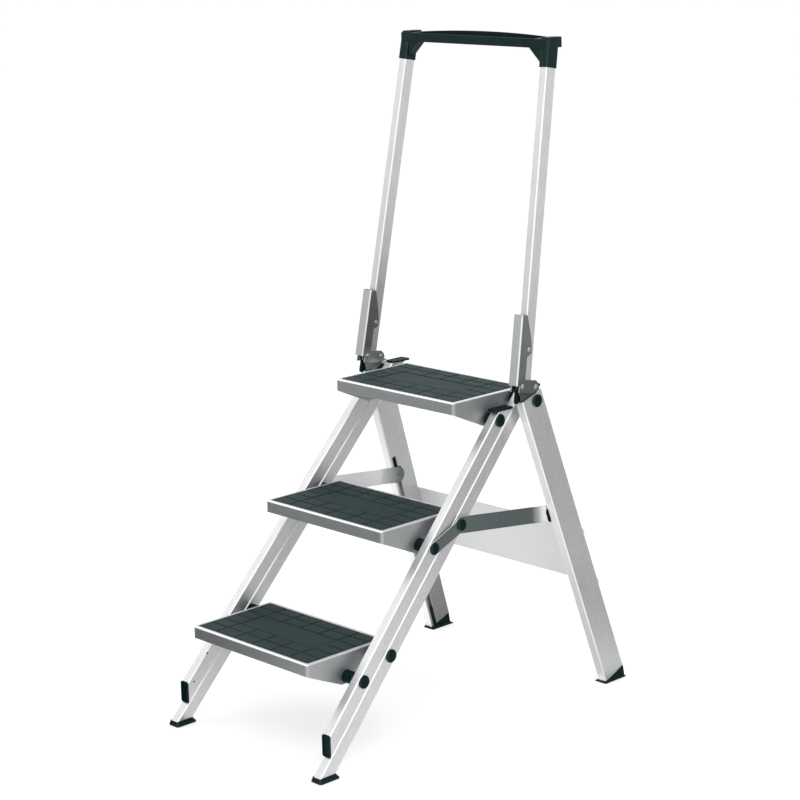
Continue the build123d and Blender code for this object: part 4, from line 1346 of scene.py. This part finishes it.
# round-headed rivets on the rear panel
panelRivet = {
    "radius": 0.0056,
    "high": 0.0036,
    "line": ((0, 0), (1, 0), (1, 0.25), (0.9, 0.6), (0.6, 0.9), (0, 1)),
}


def makePanelRivets():
    lean, high = math.radians(leg["lean"]), panelRivet["high"]
    axis = Vector((0, math.cos(lean), -math.sin(lean)))
    line = scaled(panelRivet["line"], panelRivet["radius"], high)
    model = addTurned("rivetModel", line, axis=axis, steps=24)
    spots = [(low + top) / 2 - axis * high / 2 for low, top in islands("panel_rivets")]
    piece = joined("panelRivets", [copied(model, "panelRivet", spot) for spot in spots])
    dropped(model)
    finishPiece(piece, pinMetal, "rear_legs", ["panel_rivets"])


makePanelRivets()

# plastic noses under the brackets' webs
nose = {
    "half": 0.0034,
    "front": -0.0052,
    "back": 0.0030,
    "top": -0.002,
    "low": -0.0385,
    "round": 0.0045,
    "topRound": 0.00225,
    "edge": 0.0012,
}


def makeNose():
    low = (-nose["half"], nose["front"], nose["low"])
    high = (nose["half"], nose["back"], nose["top"])
    piece = addBox("nose", low, high)
    edit(piece)
    roundEdges(lambda e: runs(e, 0) and middle(e).z < nose["low"] + slack, nose["round"], 5)
    roundEdges(lambda e: runs(e, 0) and middle(e).z > nose["top"] - slack, nose["topRound"], 4)
    leave()
    bevelled(piece, nose["edge"], 3, 50)
    return placedIn(piece, handFrame)


finishPiece(mirrored("noses", makeNose()), capPlastic, "rear_legs", ["bracket_noses"])
print("brackets made")

# handle: a tray with a bowed rear rim, end blocks, sockets and gussets
handle = {
    "under": 1.3952,
    "top": 1.4142,
    "front": 0.2703,
    "depth": 0.0462,
    "bow": 0.0050,
    "arch": 0.0062,
    "archHalf": 0.195,
    "archFrom": 0.6,  # share of the depth, so that only the rear rim rises
    "halfLong": 0.2155,
    "columns": 24,
    "trayHalf": 0.182,
    "wall": 0.0040,
    "floor": 0.005,
    "round": 0.0012,
    "socketWall": 0.0012,
    "socketLong": 0.0375,
    "socketOver": 0.05,  # cut off level at socketTop
    "socketTop": 1.4174,
    "socketCorner": 0.0028,
    "socketLip": 0.00102,
    "socketDeep": 0.035625,
    "socketEdge": 0.0006,
    "endFront": 0.010,
    "endLap": 0.001,
    "endRise": 0.004,
    "endSet": 0.0002,
    "gusset": 0.0325,
    "gussetTall": 0.0350,
    "gussetLap": 0.004,
    "gussetRise": 0.003,
    "gussetFront": 0.002,
    "gussetDeep": 0.022,
    "gussetEdge": 0.0007,
    "channelIn": 0.005,
    "channel": 0.003,
}


def moveColumns(piece, test, amount, axis):
    # moves each column of points by an amount that depends on its x
    reach = 1e-4
    spots = []
    for x in sorted(v.co.x for v in piece.data.vertices if test(v)):
        if not spots or x - spots[-1] > reach:
            spots.append(x)
    edit(piece)
    for x in spots:
        step = [0, 0, 0]
        step[axis] = amount(x)
        pick("verts", lambda v: test(v) and abs(v.co.x - x) < reach)
        bpy.ops.transform.translate(value=step)
    leave()


def makeTray():
    look = handle
    half, rear = look["halfLong"], look["front"] + look["depth"]
    rimFrom = look["front"] + look["depth"] * look["archFrom"]

    def bow(x):
        return look["bow"] * (1 - (x / half) ** 2)

    def arch(x):
        return look["arch"] * max(0.0, 1 - (x / look["archHalf"]) ** 2)

    piece = addBox("tray", (-half, look["front"], look["under"]), (half, rear, look["top"]))
    edit(piece)
    pick("edges", lambda e: runs(e, 0))
    bpy.ops.mesh.subdivide(number_cuts=look["columns"] - 1)
    leave()
    moveColumns(piece, lambda v: v.co.y > rear - slack, bow, 1)
    edit(piece)
    pick("faces", lambda f: f.normal.z > 0.99 and abs(f.calc_center_median().x) < look["trayHalf"])
    bpy.ops.mesh.inset(thickness=look["wall"], depth=0)
    extrude(0, 0, look["under"] + look["floor"] - look["top"])
    leave()
    moveColumns(piece, lambda v: v.co.z > look["top"] - slack and v.co.y > rimFrom, arch, 2)
    return bevelled(piece, look["round"], 3, 50)


def makeSocket():
    look = handle
    barUp = (look["under"] - hand["pivot"][2]) / math.cos(math.radians(hand["lean"]))
    wall = look["socketWall"]
    low = (-hand["tubeHalf"] - wall, -wall, barUp - look["socketLong"])
    high = (hand["tubeHalf"] + wall, hand["tubeDeep"] + wall, barUp + look["socketOver"])
    piece = addBox("socket", low, high)
    edit(piece)
    roundEdges(lambda e: runs(e, 2), look["socketCorner"], 4)
    pick("faces", lambda f: f.normal.z < -0.99)
    bpy.ops.mesh.inset(thickness=look["socketLip"], depth=0)
    extrude(0, 0, look["socketDeep"])
    leave()
    placedIn(piece, handFrame)
    edit(piece)
    bpy.ops.mesh.select_all(action="SELECT")
    level = (0, 0, look["socketTop"])
    bpy.ops.mesh.bisect(plane_co=level, plane_no=(0, 0, 1), use_fill=True, clear_outer=True)
    leave()
    return bevelled(piece, look["socketEdge"], 2, 50)


def socketInner():
    # the socket's inner x under the crossbar
    centre = hand["pivot"][0] - hand["splay"] * (handle["under"] - hand["pivot"][2])
    return centre - hand["tubeHalf"] - handle["socketWall"]


def makeEndBlock():
    look = handle
    front, inset = look["front"], look["endSet"]
    low = (socketInner() + look["endLap"], front + look["endFront"], look["under"] + look["endRise"])
    high = (look["halfLong"] - inset, front + look["depth"] - inset, look["socketTop"] - inset)
    return bevelled(addBox("endBlock", low, high), look["round"], 3)


def makeGusset():
    look = handle
    inner, front, under = socketInner(), look["front"], look["under"]
    low = (inner - look["gusset"], front + look["gussetFront"], under - look["gussetTall"])
    high = (inner + look["gussetLap"], front + look["gussetDeep"], under + look["gussetRise"])
    piece = addBox("gusset", low, high)
    edit(piece)
    pick("verts", lambda v: v.co.x < low[0] + slack and v.co.z < low[2] + slack)
    bpy.ops.transform.translate(value=(0, 0, look["gussetTall"]))
    pick("faces", lambda f: f.normal.z < -0.3 and f.normal.x < -0.3)
    bpy.ops.mesh.inset(thickness=look["channelIn"], depth=-look["channel"])
    leave()
    return bevelled(piece, look["gussetEdge"])


def united(base, other):
    activate(base)
    union = base.modifiers.new("union", "BOOLEAN")
    union.operation = "UNION"
    union.solver = "EXACT"
    union.object = other
    bpy.ops.object.modifier_apply(modifier=union.name)
    dropped(other)


def makeHandle():
    piece = makeTray()
    for part in (makeSocket(), makeEndBlock(), makeGusset()):
        twin = copied(part, "twin", flip=True)
        united(piece, part)
        united(piece, twin)
    piece.name = "handleBar"
    piece.data.name = "handleBar"
    return piece


finishPiece(makeHandle(), handlePlastic, "handrail", ["handle"], smooth=38)
print("handle made")

# painted shade: small black domes in the pilot holes on the front rails' inner faces, standing in for
# the shade inside the holes
holeShade = {
    "radius": 0.0021,
    "high": 0.0006,
    "sunk": 0.0008,
    "line": ((1, 0.3), (0.8, 0.8), (0, 1)),  # shares of the radius and height
    "spots": ((-0.38847, 0.0902), (-0.35025, 0.14433)),
    "face": 0.2155,  # the rail's inner face at the floor
    "splay": 0.04,
}


def makeHoleShades():
    radius, sunk, splay = holeShade["radius"], holeShade["sunk"], holeShade["splay"]
    line = [(0, -sunk), (radius, -sunk)] + scaled(holeShade["line"], radius, holeShade["high"])
    model = addTurned("holeShadeModel", line, axis=(-1, 0, -splay), steps=20)
    spots = [(holeShade["face"] - splay * z, y, z) for y, z in holeShade["spots"]]
    right = joined("rightHoleShades", [copied(model, "holeShade", spot) for spot in spots])
    dropped(model)
    finishPiece(mirrored("holeShades", right), capPlastic, "front_rails")


makeHoleShades()
print("buttons made")

# tubes and small hidden hardware keep their CAD shape
kept = {
    "rear_rail_right": railMetal,
    "rear_rail_left": railMetal,
    "front_rail_right": railMetal,
    "front_rail_left": railMetal,
    "handrail_tube_right": handMetal,
    "handrail_tube_left": handMetal,
    "bracket_rivets": legMetal,
    "strut_pins": bracketMetal,
}
for name, material in kept.items():
    nodes[name].data.materials.clear()
    nodes[name].data.materials.append(material)
print("finishes set on the kept tubes")
